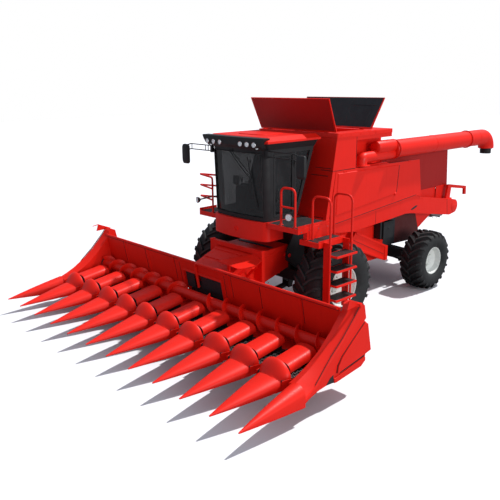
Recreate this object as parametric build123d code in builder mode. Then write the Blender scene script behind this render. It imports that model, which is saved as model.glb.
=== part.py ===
from build123d import *
from math import cos, pi, radians, sin, tan
import os

# Combine harvester with a corn head, in millimetres.
# +X is the way it drives, +Y its left side, +Z up, and the ground is z = 0.
# Places along the machine are counted from the front axle.

os.makedirs("parts", exist_ok=True)

# Wheels and axles
wheelbase = 3840
front_tyre_radius = 973
front_tyre_width = 780
front_tyre_y = 1725
front_rim_radius = 452
rear_tyre_radius = 767
rear_tyre_width = 640
rear_tyre_y = 1660
rear_rim_radius = 355
lug_height = 42
lugs_per_side = 15
rim_fit = 0.3
hub_radius = 150
hub_clearance = 0.5
kingpin_y = 1130
kingpin_radius = 45
kingpin_clearance = 0.3
running_gap = 8
seat_gap = 0.3

# Corn head
row_pitch = 762
row_count = 11
end_row_pitch = 674
stalk_slot = 44
deck_half_width = (row_pitch - stalk_slot) / 2
snout_tip_x = 4940
snout_tip_z = 373
crease_x = 3630
crease_z = 650
arch_x = 3470
arch_z = 870
snout_half_width = 300
arch_half_width = 325
collar_wall = 20
deck_z = 600
deck_thickness = 150
deck_rear_x = 2700
row_hood_rear_x = 2705
row_hood_front_x = 3490
row_hood_front_z = 766
row_hood_rear_z = 880
row_hood_half_width = 225
row_hood_depth = 150
auger_x = 2450
auger_z = 835
auger_tube_radius = 110
flight_radius = 200
flight_pitch = 500
flight_thickness = 14
trough_radius = 235
sheet_thickness = 20
sheet_top_x = 2350
sheet_top_z = 1550
frame_half_width = 5 * row_pitch + stalk_slot / 2
shield_outer_y = 4190
mouth_half_width = 640
mouth_top_z = 1280
toolbar_height = 180
toolbar_depth = 160

# Feeder house
feeder_rear_x = 260
feeder_pivot_x = 345
feeder_pivot_z = 1500
feeder_pin_radius = 45
ear_y = 700
ear_thickness = 40
feeder_half_width = 620
feeder_wall = 16
feeder_front_x = 2150
feeder_top_front_z = 1330
feeder_bottom_front_z = 640
lift_pin_x = 90
lift_pin_z = 700
lift_eye_x = 1450
lift_eye_z = 560
lift_y = 430
barrel_radius = 62
rod_radius = 34
eye_half_width = 40

# Body and tank
body_half_width = 1250
housing_half_width = body_half_width - 100
hood_body_half_width = body_half_width - 280
seam_z = 3370
tank_top_z = 4190
tank_wall = 30
tank_front_x = -650
tank_foot_x = -503
body_front_x = -280
body_front_z = 2190
frame_post = 110
tank_rear_x = -2700
tank_opening_x = -1930
recess_y = body_half_width - 310
pillar_rear_x = -1330
hood_top_z = 3430
hood_rear_x = -5930
hood_wall = 20
shield_thickness = 40

# Tank covers, standing open
front_cover_length = 795
rear_cover_length = 820
front_cover_lean = 66.7
rear_cover_lean = 58.4
cover_half_width = body_half_width - 23
cover_thickness = 22
front_hinge_z = 4216
rear_hinge_z = 4216
front_hinge_x = -668
cover_pin_radius = 14
rear_hinge_x = -1950

# Unloading auger, folded back along the left side
swing_x = -1620
unloader_y = body_half_width - 50
unloader_z = 3680
unloader_radius = 222
turret_radius = 215
elbow_bend = 232
elbow_radius = 200
spout_bend = 260
spout_mouth_z = 3360
spout_x = -7590
boot_bottom_z = 3190
flange_xs = [-1960, -2850, -6350]

# Cab
cab_floor_z = 2400
skirt_half_width = 880
cab_top_z = 3930
cab_half_width = 855
cab_front_x = 1150
cab_bow = 90
cab_lean = 60
cab_rear_x = 240
cab_rear_top_x = -300
cab_corner_radius = 170
cab_wall = 50
roof_half_width = 1040
roof_front_x = 1370
roof_rear_x = -320
roof_z = 4080
roof_thickness = 120
door_rear_x = 330
door_front_x = 970
door_bottom_z = 2470
door_top_z = 3840
door_gap = 8
hinge_radius = 12
hinge_leaf = 80
door_hinge_zs = [2700, 3600]

# Decks, ladder and rails
deck_top_z = 2400
landing_z = 2130
landing_outer_y = 2130
plate_thickness = 110
rail_radius = 20

# The box round the whole machine is centred on x = 0
spout_reach = -spout_x + unloader_radius
front_axle_x = (spout_reach - snout_tip_x) / 2


def side(y):
    """Plane seen from the right side: x from the front axle, z from the ground."""
    return Plane(origin=(front_axle_x, y, 0), x_dir=(1, 0, 0), z_dir=(0, -1, 0))


def front(x):
    """Plane across the machine: y to the left, z from the ground, facing forwards."""
    return Plane(origin=(front_axle_x + x, 0, 0), x_dir=(0, 1, 0), z_dir=(1, 0, 0))


def level(z):
    """Plane parallel to the ground: x from the front axle, y to the left."""
    return Plane(origin=(front_axle_x, 0, z), x_dir=(1, 0, 0), z_dir=(0, 0, 1))


def block(x_low, x_high, y_low, y_high, z_low, z_high):
    """Box between two corners."""
    size = (x_high - x_low, y_high - y_low, z_high - z_low)
    centre = (front_axle_x + (x_low + x_high) / 2, (y_low + y_high) / 2, (z_low + z_high) / 2)
    return Pos(*centre) * Box(*size, mode=Mode.PRIVATE)


def plate(outline, y_low, y_high):
    """Side outline of (x, z) points, as thick as the distance between two y values."""
    with BuildPart() as blank:
        with BuildSketch(side(y_high)):
            with BuildLine():
                Polyline(*outline, close=True)
            make_face()
        extrude(amount=y_high - y_low)
    return blank.part


def rod(start, end, radius):
    """Round bar between two points."""
    low = Vector(*start) + Vector(front_axle_x, 0, 0)
    high = Vector(*end) + Vector(front_axle_x, 0, 0)
    with BuildPart() as bar:
        with BuildSketch(Plane(origin=low, z_dir=high - low)):
            Circle(radius)
        extrude(amount=(high - low).length)
    return bar.part


def pipe(points, radius, bend):
    """Round bar bent along a run of points."""
    with BuildPart() as bent:
        with BuildLine(Plane(origin=(front_axle_x, 0, 0))) as path:
            FilletPolyline(*points, radius=bend)
        with BuildSketch(Plane(origin=path.line @ 0, z_dir=path.line % 0)):
            Circle(radius)
        sweep(path=path.line)
    return bent.part


def mirror_y(shape):
    """The same piece on the other side of the machine."""
    return mirror(shape, about=Plane.XZ)


# Tyres: a ring with chevron lugs, whose tips lie on the tyre's outer radius
def make_tyre(x, y, radius, width, bore):
    """Left tyre standing on the ground, its lugs pointing forwards at the top."""
    half = width / 2
    tread = radius - lug_height
    with BuildPart() as tyre:
        with BuildSketch(front(x)):
            with BuildLine():
                Polyline(
                    (y - 0.40 * width, radius + bore),
                    (y - half, radius + bore + 0.45 * (tread - bore)),
                    (y - 0.46 * width, radius + tread - 60),
                    (y - 0.25 * width, radius + tread - 12),
                    (y, radius + tread),
                    (y + 0.25 * width, radius + tread - 12),
                    (y + 0.46 * width, radius + tread - 60),
                    (y + half, radius + bore + 0.45 * (tread - bore)),
                    (y + 0.40 * width, radius + bore),
                    close=True,
                )
            make_face()
        revolve(axis=Axis((front_axle_x + x, 0, radius), (0, 1, 0)))
    pitch = 2 * pi * radius / lugs_per_side
    lug_width = 0.36 * pitch
    sweep_back = 0.55 * pitch
    with BuildPart() as lug:
        with BuildSketch(Plane(origin=(0, 0, tread - 75), x_dir=(1, 0, 0), z_dir=(0, 0, 1))):
            with BuildLine():
                Polyline(
                    (0, -0.02 * width),
                    (lug_width, -0.02 * width),
                    (lug_width + sweep_back, half - 18),
                    (sweep_back + 0.1 * lug_width, half - 18),
                    close=True,
                )
            make_face()
        extrude(amount=lug_height + 90)
    lugs = []
    for index in range(lugs_per_side):
        angle = index * 360 / lugs_per_side
        lugs.append(Rot(0, angle, 0) * lug.part)
        other = mirror(lug.part, about=Plane.XZ)
        lugs.append(Rot(0, angle + 180 / lugs_per_side, 0) * other)
    with BuildPart() as treaded:
        Cylinder(radius, width, rotation=(90, 0, 0))
        add(lugs, mode=Mode.INTERSECT)
    with BuildPart() as whole:
        add(tyre.part)
        add(Pos(front_axle_x + x, y, radius) * treaded.part)
    return whole.part


wheel_table = [
    # place, x, y, tyre radius, tyre width, rim radius
    ("front", 0, front_tyre_y, front_tyre_radius, front_tyre_width, front_rim_radius),
    ("rear", -wheelbase, rear_tyre_y, rear_tyre_radius, rear_tyre_width, rear_rim_radius),
]


# Rims: a barrel with a flange at each edge and a dished disc set towards the outside
def make_rim(x, y, radius, width, rim):
    """Left rim whose dished disc faces outwards."""
    outer = y + 0.40 * width
    inner = y - 0.40 * width
    disc = y + 0.12 * width
    fit = rim - rim_fit
    with BuildPart() as wheel:
        with BuildSketch(front(x)):
            with BuildLine():
                Polyline(
                    (inner, radius + fit),
                    (outer, radius + fit),
                    (outer, radius + fit - 24),
                    (disc + 60, radius + fit - 70),
                    (disc, radius + 0.52 * fit),
                    (disc - 40, radius + hub_radius + 10),
                    (disc - 40, radius),
                    (disc - 72, radius),
                    (disc - 72, radius + hub_radius + 25),
                    (disc - 36, radius + 0.52 * fit + 20),
                    (disc + 20, radius + fit - 56),
                    (inner, radius + fit - 24),
                    close=True,
                )
            make_face()
        revolve(axis=Axis((front_axle_x + x, 0, radius), (0, 1, 0)))
        hub_y = disc - 40
        add(rod((x, hub_y - 5, radius), (x, hub_y + 90, radius), hub_radius * 0.72))
    return wheel.part


for place, x, y, radius, width, rim in wheel_table:
    left_tyre = make_tyre(x, y, radius, width, rim)
    left_rim = make_rim(x, y, radius, width, rim)
    for name, tyre, wheel_rim in (
        (place + "_left", left_tyre, left_rim),
        (place + "_right", mirror_y(left_tyre), mirror_y(left_rim)),
    ):
        tyre.label = "tyre_" + name
        export_step(tyre, "parts/tyre_" + name + ".step")
        wheel_rim.label = "rim_" + name
        export_step(wheel_rim, "parts/rim_" + name + ".step")

front_disc_y = front_tyre_y + 0.12 * front_tyre_width - 72
rear_disc_y = rear_tyre_y + 0.12 * rear_tyre_width - 72

# Front axle: a beam with a final drive and a hub at each end
with BuildPart() as front_axle:
    add(block(-150, 150, -1000, 1000, front_tyre_radius - 130, front_tyre_radius + 130))
    for turn in (-1, 1):
        start = (0, turn * 990, front_tyre_radius)
        end = (0, turn * 1230, front_tyre_radius)
        add(rod(start, end, 260))
        hub_end = (0, turn * (front_disc_y - hub_clearance), front_tyre_radius)
        add(rod((0, turn * 1220, front_tyre_radius), hub_end, hub_radius))
front_axle.part.label = "front_axle"
export_step(front_axle.part, "parts/front_axle.step")

# Rear axle: a tapered beam whose forked ends hold the kingpins
fork_half_height = 150
fork_plate = 45
beam_end_y = kingpin_y - 125
with BuildPart() as rear_axle:
    with BuildSketch(front(-wheelbase)):
        with BuildLine():
            Polyline(
                (-beam_end_y, rear_tyre_radius - fork_half_height),
                (-200, rear_tyre_radius - 60),
                (200, rear_tyre_radius - 60),
                (beam_end_y, rear_tyre_radius - fork_half_height),
                (beam_end_y, rear_tyre_radius + fork_half_height),
                (200, rear_tyre_radius + 190),
                (-200, rear_tyre_radius + 190),
                (-beam_end_y, rear_tyre_radius + fork_half_height),
                close=True,
            )
        make_face()
    extrude(amount=100, both=True)
    for turn in (-1, 1):
        for low in (-fork_half_height, fork_half_height - fork_plate):
            z_low = rear_tyre_radius + low
            y_edges = sorted((turn * (beam_end_y - 15), turn * (kingpin_y + 70)))
            add(block(-wheelbase - 90, -wheelbase + 90, *y_edges, z_low, z_low + fork_plate))
    with Locations(
        (front_axle_x - wheelbase, kingpin_y, rear_tyre_radius),
        (front_axle_x - wheelbase, -kingpin_y, rear_tyre_radius),
    ):
        Hole(kingpin_radius + kingpin_clearance, depth=2 * fork_half_height)
rear_axle.part.label = "rear_axle"
export_step(rear_axle.part, "parts/rear_axle.step")

# Steering knuckles, each with its kingpin, stub axle and steering arm
tie_arm_x = -wheelbase + 330
tie_pin_radius = 18
tie_rod_z = rear_tyre_radius - 20
for name, turn in (("left", 1), ("right", -1)):
    with BuildPart() as knuckle:
        pin_low = (-wheelbase, turn * kingpin_y, rear_tyre_radius - fork_half_height - 15)
        pin_high = (-wheelbase, turn * kingpin_y, rear_tyre_radius + fork_half_height + 15)
        add(rod(pin_low, pin_high, kingpin_radius))
        boss = fork_half_height - fork_plate - 6
        boss_low = (-wheelbase, turn * kingpin_y, rear_tyre_radius - boss)
        boss_high = (-wheelbase, turn * kingpin_y, rear_tyre_radius + boss)
        add(rod(boss_low, boss_high, 85))
        stub_end = (-wheelbase, turn * (rear_disc_y - hub_clearance), rear_tyre_radius)
        add(rod((-wheelbase, turn * kingpin_y, rear_tyre_radius), stub_end, 75))
        arm_y = sorted((turn * (kingpin_y - 30), turn * (kingpin_y + 30)))
        add(block(-wheelbase + 40, tie_arm_x + 45, *arm_y, tie_rod_z - 70, tie_rod_z - 30))
        pin_z = tie_rod_z - 75
        add(rod((tie_arm_x, turn * kingpin_y, pin_z), (tie_arm_x, turn * kingpin_y, tie_rod_z + 30),
                tie_pin_radius))
    knuckle.part.label = "knuckle_" + name
    export_step(knuckle.part, "parts/knuckle_" + name + ".step")

# Tie rod between the two steering arms
with BuildPart() as tie_rod:
    add(rod((tie_arm_x, -kingpin_y + 30, tie_rod_z), (tie_arm_x, kingpin_y - 30, tie_rod_z), 22))
    for turn in (-1, 1):
        eye_low = (tie_arm_x, turn * kingpin_y, tie_rod_z - 30 + seat_gap)
        eye_high = (tie_arm_x, turn * kingpin_y, tie_rod_z + 24)
        add(rod(eye_low, eye_high, 42))
    with Locations(
        (front_axle_x + tie_arm_x, kingpin_y, tie_rod_z),
        (front_axle_x + tie_arm_x, -kingpin_y, tie_rod_z),
    ):
        Hole(tie_pin_radius + kingpin_clearance, depth=100)
tie_rod.part.label = "tie_rod"
export_step(tie_rod.part, "parts/tie_rod.step")

# Main frame: two rails on the axles, cross members, the feeder's pivot ears and the cab mast
rail_y = 560
rail_half = 60
rail_low = front_tyre_radius + 130
rail_high = rail_low + 230
frame_rear_x = -wheelbase - 660
hitch_x = frame_rear_x - 100
hitch_z = 900
hitch_pin_radius = 17
with BuildPart() as main_frame:
    for turn in (-1, 1):
        y_edges = sorted((turn * (rail_y - rail_half), turn * (rail_y + rail_half)))
        add(block(frame_rear_x, 180, *y_edges, rail_low, rail_high))
        ear = [(60, rail_low), (feeder_pivot_x + 90, feeder_pivot_z - 90), (feeder_pivot_x + 90, feeder_pivot_z + 90),
               (60, 2240), (-160, 2240), (-160, rail_low)]
        add(plate(ear, *sorted((turn * ear_y, turn * (ear_y + ear_thickness)))))
        add(rod((feeder_pivot_x, turn * (ear_y - 1), feeder_pivot_z),
                (feeder_pivot_x, turn * (ear_y + ear_thickness + 1), feeder_pivot_z),
                feeder_pin_radius + kingpin_clearance), mode=Mode.SUBTRACT)
        link_y = sorted((turn * (rail_y + rail_half), turn * (ear_y + ear_thickness)))
        add(block(-160, 60, *link_y, rail_low, rail_high))
        beam_y = sorted((turn * 560, turn * 740))
        add(block(-280, 1080, *beam_y, 2240, 2300))
        lug_y = sorted((turn * (lift_y + 75), turn * (lift_y + 100)))
        add(plate([(-40, front_tyre_radius - 130), (150, front_tyre_radius - 130),
                   (150, lift_pin_z - 60), (30, lift_pin_z - 60)], *lug_y))
        lug_y = sorted((turn * (lift_y - 100), turn * (lift_y - 75)))
        add(plate([(-40, front_tyre_radius - 130), (150, front_tyre_radius - 130),
                   (150, lift_pin_z - 60), (30, lift_pin_z - 60)], *lug_y))
    for x_low in (-900, -wheelbase + 680, -wheelbase - 80, frame_rear_x + 20):
        add(block(x_low, x_low + 160, -rail_y, rail_y, rail_low + 20, rail_high - 20))
    add(block(900, 1080, -560, 560, 2240, 2300))
    add(block(-280, -120, -560, 560, 2240, 2300))
    add(block(-wheelbase - 130, -wheelbase + 130, -190, 190, rear_tyre_radius + 190, rail_high - 30))
    add(block(hitch_x - 60, frame_rear_x + 120, -90, 90, hitch_z - 25, hitch_z + 25))
    add(block(frame_rear_x + 60, frame_rear_x + 120, -90, 90, hitch_z - 25, rail_low + 30))
    with Locations((front_axle_x + hitch_x, 0, hitch_z)):
        Hole(hitch_pin_radius, depth=120)
main_frame.part.label = "main_frame"
export_step(main_frame.part, "parts/main_frame.step")

# Separator housing: the closed red body between the side shields
housing_side = [
    (tank_foot_x, seam_z), (body_front_x, body_front_z), (-480, 1750), (-960, 1340), (-1000, rail_high),
    (-4500, rail_high), (-5350, 1750), (-5350, 2420), (tank_rear_x, 2420), (tank_rear_x, seam_z),
]
front_frame = [(tank_foot_x, seam_z), (body_front_x, body_front_z), (body_front_x - frame_post, body_front_z),
               (tank_foot_x - frame_post, seam_z)]
with BuildPart() as separator_housing:
    add(plate(housing_side, -hood_body_half_width + hood_wall, hood_body_half_width - hood_wall))
    upper = [(tank_foot_x, seam_z), (body_front_x, body_front_z), (tank_rear_x, 2520), (tank_rear_x, seam_z)]
    add(plate(upper, -housing_half_width, housing_half_width))
    add(plate(front_frame, -body_half_width, body_half_width))
    shoe = [(-960, rail_high), (-1180, 900), (-2870, 860), (-2950, rail_high)]
    add(plate(shoe, -rail_y + rail_half + 5, rail_y - rail_half - 5))
    for turn in (-1, 1):
        y_edges = sorted((turn * (rail_y + rail_half + 5), turn * hood_body_half_width))
        add(plate([(-960, 1760), (-1180, 900), (-2870, 860), (-2950, 1760)], *y_edges))
        hinge_y = sorted((turn * (housing_half_width - 5), turn * (body_half_width - shield_thickness - seat_gap)))
        add(block(tank_rear_x, -640, *hinge_y, seam_z - 60, seam_z - 20))
separator_housing.part.label = "separator_housing"
export_step(separator_housing.part, "parts/separator_housing.step")

# Grain tank: open at the top, with the recess for the unloading auger on its left
with BuildPart() as grain_tank:
    outline = [(tank_foot_x, seam_z), (tank_front_x, tank_top_z), (tank_rear_x, tank_top_z), (tank_rear_x, seam_z)]
    add(plate(outline, -body_half_width, body_half_width))
    add(block(tank_rear_x - 1, pillar_rear_x, recess_y, body_half_width + 1, seam_z - 1, tank_top_z - 190),
        mode=Mode.SUBTRACT)
    inner = [(tank_foot_x - tank_wall - 40, seam_z + 80), (tank_front_x - tank_wall, tank_top_z - 60),
             (tank_front_x - tank_wall, tank_top_z + 1), (tank_opening_x, tank_top_z + 1),
             (tank_opening_x, tank_top_z - 60), (tank_rear_x + tank_wall, tank_top_z - 60),
             (tank_rear_x + tank_wall, seam_z + 80)]
    add(plate(inner, -body_half_width + tank_wall, recess_y - tank_wall), mode=Mode.SUBTRACT)
    for x, z in ((front_hinge_x, front_hinge_z), (rear_hinge_x, rear_hinge_z)):
        for y in (-900, 0, 900):
            add(block(x - 10, x + 10, y - 60, y + 60, tank_top_z - 1, z - cover_pin_radius - seat_gap))
grain_tank.part.label = "grain_tank"
export_step(grain_tank.part, "parts/grain_tank.step")


# Tank covers, each on a hinge line across the tank
def make_cover(hinge_x, hinge_z, lean, length, turn):
    with BuildPart() as cover:
        angle = lean if turn > 0 else 180 - lean
        along = (cos(radians(angle)), 0, sin(radians(angle)))
        across = (-sin(radians(angle)), 0, cos(radians(angle)))
        hinge = (front_axle_x + hinge_x, 0, hinge_z)
        with BuildSketch(Plane(origin=hinge, x_dir=(0, 1, 0), z_dir=across)):
            with BuildLine():
                reach = length if Plane(origin=hinge, x_dir=(0, 1, 0), z_dir=across).y_dir.dot(
                    Vector(*along)) > 0 else -length
                Polyline((-cover_half_width + 30, 0), (-cover_half_width, reach), (cover_half_width, reach),
                         (cover_half_width - 30, 0), close=True)
            make_face()
        extrude(amount=cover_thickness / 2, both=True)
        add(rod((hinge_x, -cover_half_width + 40, hinge_z), (hinge_x, cover_half_width - 40, hinge_z), cover_pin_radius))
    return cover.part


front_cover = make_cover(front_hinge_x, front_hinge_z, front_cover_lean, front_cover_length, 1)
front_cover.label = "front_cover"
export_step(front_cover, "parts/front_cover.step")
rear_cover = make_cover(rear_hinge_x, rear_hinge_z, rear_cover_lean, rear_cover_length, -1)
rear_cover.label = "rear_cover"
export_step(rear_cover, "parts/rear_cover.step")

# Side shields: hinged along their top edge, with a raised field
shield_outline = [(tank_foot_x - frame_post - 10, seam_z - 10), (-3990, seam_z - 45), (-4160, 2325), (-3990, 2385),
                  (body_front_x - frame_post - 25, 2105)]
shield_field = [(-690, 3300), (-3040, 3275), (-2980, 2570), (-640, 2340)]
for name, turn in (("left", 1), ("right", -1)):
    outer = turn * body_half_width
    with BuildPart() as side_shield:
        add(plate(shield_outline, *sorted((outer, outer - turn * shield_thickness))))
        with BuildSketch(side(outer)):
            with BuildLine():
                Polyline(*shield_field, close=True)
            make_face()
        extrude(amount=-12 if turn > 0 else 12, taper=40)
    side_shield.part.label = "side_shield_" + name
    export_step(side_shield.part, "parts/side_shield_" + name + ".step")

# Engine block on the housing's rear deck
with BuildPart() as engine_block:
    add(block(-4300, -3100, -400, 400, 2420, 3250))
engine_block.part.label = "engine_block"
export_step(engine_block.part, "parts/engine_block.step")

# Rear hood over the engine: an open-bottomed shell
hood_side = [(tank_rear_x, 2420), (tank_rear_x, hood_top_z), (-5840, hood_top_z), (hood_rear_x, 2300),
             (-5360, 2300), (-5360, 2420)]
with BuildPart() as rear_hood:
    add(plate(hood_side, -hood_body_half_width, hood_body_half_width))
    cavity = [(tank_rear_x - hood_wall, 2400), (tank_rear_x - hood_wall, hood_top_z - hood_wall),
              (-5820, hood_top_z - hood_wall), (hood_rear_x + hood_wall + 5, 2290), (-5355, 2290), (-5355, 2400)]
    add(plate(cavity, -hood_body_half_width + hood_wall, hood_body_half_width - hood_wall), mode=Mode.SUBTRACT)
rear_hood.part.label = "rear_hood"
export_step(rear_hood.part, "parts/rear_hood.step")

# Lower side panels, which run back into the tail housing with its rounded end
lower_panel = [
    (body_front_x, body_front_z - 30), (body_front_x - frame_post - 25, body_front_z - 90), (-3990, 2378),
    (-4170, 2315), (-5650, 2070), (-5905, 2020), (-5930, 1640), (-5700, 1610), (-3750, 1940), (-3500, 1965),
    (-2750, 1920), (-1320, 1850), (-380, 1960),
]
tail_end_x = -5930
tail_end_z = 1830
tail_end_radius = 190
with BuildPart() as tail_housing:
    for turn in (-1, 1):
        y_edges = sorted((turn * housing_half_width, turn * (body_half_width - 15)))
        add(plate(lower_panel, *y_edges))
        y_edges = sorted((turn * (hood_body_half_width - hood_wall + seat_gap), turn * (housing_half_width + 1)))
        add(plate([(-560, 2100), (-900, 2140), (-900, 1900), (-700, 1890)], *y_edges))
        add(plate([(-3100, 2230), (-3400, 2260), (-3400, 2000), (-3100, 1975)], *y_edges))
        add(plate([(-5200, 2100), (-5640, 2030), (-5640, 1700), (-5200, 1760)], *y_edges))
    add(block(tail_end_x, -5350 - seat_gap, -housing_half_width - 1, housing_half_width + 1, 1700, 2060))
    add(block(-5700, -5350 - seat_gap, -900, 900, 2059, 2300 - seat_gap))
    add(rod((tail_end_x, -body_half_width + 15, tail_end_z), (tail_end_x, body_half_width - 15, tail_end_z),
            tail_end_radius))
    add(plate([(-5650, 2060), (-5740, 2450), (-5860, 2445), (-6740, 2300), (-6760, 2060), (-6660, 2060),
               (-6650, 2230), (-5900, 2350), (-5850, 2020)], body_half_width - 180, body_half_width - 120))
tail_housing.part.label = "tail_housing"
export_step(tail_housing.part, "parts/tail_housing.step")

# Spreader discs under the chopper
disc_x = -5990
disc_z = 1470
for name, turn in (("left", 1), ("right", -1)):
    with BuildPart() as spreader:
        centre = turn * 480
        add(rod((disc_x, centre, disc_z), (disc_x, centre, disc_z + 14), 330))
        add(rod((disc_x, centre, disc_z), (disc_x, centre, disc_z + 120), 50))
        with Locations((front_axle_x + disc_x, centre, disc_z - 25)):
            with PolarLocations(165, 4):
                Box(270, 12, 50)
    spreader.part.label = "spreader_" + name
    export_step(spreader.part, "parts/spreader_" + name + ".step")

# Spreader carrier: arms from the tail housing with a gearbox over each disc
with BuildPart() as spreader_carrier:
    for turn in (-1, 1):
        y_edges = sorted((turn * 430, turn * 530))
        add(block(disc_x - 60, -5500, *y_edges, disc_z + 120 + seat_gap, tail_end_z - tail_end_radius - seat_gap))
        add(block(-5700, -5500, *y_edges, tail_end_z - tail_end_radius - 1, 1700 - seat_gap))
spreader_carrier.part.label = "spreader_carrier"
export_step(spreader_carrier.part, "parts/spreader_carrier.step")

# Sloping elevator channel and the lower side panel in front of the rear wheel
elevator_rear_x = -wheelbase + 1040
with BuildPart() as elevator:
    for turn in (-1, 1):
        y_edges = sorted((turn * (hood_body_half_width + seat_gap), turn * (body_half_width - 60)))
        add(plate([(-1500, 1800), (-1180, 1500), (elevator_rear_x + 160, 880), (elevator_rear_x, 905),
                   (elevator_rear_x, 1210)], *y_edges))
elevator.part.label = "elevator"
export_step(elevator.part, "parts/elevator.step")

# Battery box under the left shield
with BuildPart() as battery_box:
    add(block(-3020, -2600, hood_body_half_width + seat_gap, body_half_width - 50, 1420, 1840))
battery_box.part.label = "battery_box"
export_step(battery_box.part, "parts/battery_box.step")

# Unloading auger: turret, elbow, tube with flanges and the bend at its end
with BuildPart() as turret:
    add(block(swing_x - 200, swing_x + 200, recess_y + seat_gap, body_half_width - 30, seam_z + seat_gap, seam_z + 10))
    add(rod((swing_x, unloader_y, seam_z + 9), (swing_x, unloader_y, seam_z + 60), turret_radius))
turret.part.label = "unload_turret"
export_step(turret.part, "parts/unload_turret.step")

with BuildPart() as unload_tube:
    with BuildLine(side(unloader_y)) as path:
        FilletPolyline((spout_x + 600, unloader_z), (spout_x, unloader_z), (spout_x, spout_mouth_z), radius=spout_bend)
    with BuildSketch(Plane(origin=path.line @ 0, z_dir=path.line % 0)):
        Circle(unloader_radius)
    sweep(path=path.line)
    add(rod((swing_x - elbow_bend + 1, unloader_y, unloader_z), (spout_x + 590, unloader_y, unloader_z),
            unloader_radius))
    for x in flange_xs:
        add(rod((x - 14, unloader_y, unloader_z), (x + 14, unloader_y, unloader_z), unloader_radius + 22))
    with BuildLine(side(unloader_y)) as elbow:
        FilletPolyline((swing_x, seam_z + 60 + seat_gap), (swing_x, unloader_z), (swing_x - elbow_bend - 30, unloader_z),
                       radius=elbow_bend)
    with BuildSketch(Plane(origin=elbow.line @ 0, z_dir=elbow.line % 0)):
        Circle(elbow_radius)
    sweep(path=elbow.line)
unload_tube.part.label = "unload_tube"
export_step(unload_tube.part, "parts/unload_tube.step")

with BuildPart() as unload_spout:
    boot_top = spout_mouth_z - seat_gap
    add(rod((spout_x, unloader_y, boot_bottom_z), (spout_x, unloader_y, boot_top), 150))
    add(rod((spout_x, unloader_y, boot_top - 30), (spout_x, unloader_y, boot_top), 185))
    with Locations((front_axle_x + spout_x, unloader_y, boot_bottom_z)):
        CounterBoreHole(radius=128, counter_bore_radius=129, counter_bore_depth=1, depth=60)
unload_spout.part.label = "unload_spout"
export_step(unload_spout.part, "parts/unload_spout.step")


# Cab: a bowed front, straight sides and a flat back, each wall pierced by its window
def cab_back(z):
    """Place of the leaning back wall at one height."""
    return cab_rear_x + (cab_rear_top_x - cab_rear_x) * (z - cab_floor_z) / (cab_top_z - cab_floor_z)


def cab_plan(z, inset, lean):
    """Outline of the cab at one height."""
    rear = cab_back(z) + inset
    corner = cab_front_x + lean - inset
    half = cab_half_width - inset
    with BuildSketch(level(z)) as plan:
        with BuildLine():
            Line((rear, -half), (corner, -half))
            ThreePointArc((corner, -half), (corner + cab_bow, 0), (corner, half))
            Polyline((corner, half), (rear, half), (rear, -half))
        make_face()
        fillet(plan.vertices().sort_by(Axis.X)[-2:], cab_corner_radius - inset)
    return plan.sketch


def cab_hull(z_low, z_high, inset):
    span = cab_top_z - cab_floor_z
    low = cab_plan(z_low, inset, cab_lean * (z_low - cab_floor_z) / span)
    high = cab_plan(z_high, inset, cab_lean * (z_high - cab_floor_z) / span)
    return loft([low, high], ruled=True)


window_low = door_bottom_z
window_high = door_top_z
front_cut = block(900, 1500, -cab_half_width + 90, cab_half_width - 90, window_low + 10, window_high + 30)
door_cut = block(door_rear_x, door_front_x, cab_half_width - 120, cab_half_width + 20, window_low, window_high)
post_width = 90
side_low = window_low + 60
quarter_low = window_low + 260
right_outline = [(cab_back(side_low) + post_width, side_low), (door_front_x, side_low), (door_front_x, window_high),
                 (cab_back(window_high) + post_width, window_high)]
right_cut = plate(right_outline, -cab_half_width - 20, -cab_half_width + 120)
rear_cut = block(cab_rear_top_x - 20, cab_back(window_low + 500) + 90, -600, 600, window_low + 500, window_high)
quarter_outline = [(cab_back(quarter_low) + post_width, quarter_low), (door_rear_x - 65, quarter_low),
                   (door_rear_x - 65, window_high), (cab_back(window_high) + post_width, window_high)]
quarter_cut = plate(quarter_outline, cab_half_width - 120, cab_half_width + 20)
door_hinge_x = door_rear_x + door_gap / 2
door_hinge_y = cab_half_width + hinge_radius
with BuildPart() as cab_shell:
    add(cab_hull(cab_floor_z, cab_top_z, 0))
    add(cab_hull(cab_floor_z + cab_wall, cab_top_z - cab_wall, cab_wall), mode=Mode.SUBTRACT)
    add(front_cut, mode=Mode.SUBTRACT)
    add(door_cut, mode=Mode.SUBTRACT)
    add(right_cut, mode=Mode.SUBTRACT)
    add(rear_cut, mode=Mode.SUBTRACT)
    add(quarter_cut, mode=Mode.SUBTRACT)
    for z in door_hinge_zs:
        for low in (z - hinge_leaf - seat_gap, z + hinge_leaf / 2 + seat_gap):
            add(block(door_hinge_x - 34, door_hinge_x, cab_half_width - 1, door_hinge_y, low, low + hinge_leaf / 2))
            add(rod((door_hinge_x, door_hinge_y, low), (door_hinge_x, door_hinge_y, low + hinge_leaf / 2), hinge_radius))
cab_shell.part.label = "cab_shell"
export_step(cab_shell.part, "parts/cab_shell.step")

glass_outer = cab_hull(cab_floor_z + 1, cab_top_z - 1, 18)
glass_inner = cab_hull(cab_floor_z + 1, cab_top_z - 1, 28)
pane = glass_outer - glass_inner
with BuildPart() as cab_windows:
    add(pane & front_cut)
    add(pane & right_cut)
    add(pane & rear_cut)
    add(pane & quarter_cut)
cab_windows.part.label = "cab_windows"
export_step(cab_windows.part, "parts/cab_windows.step")

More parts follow.
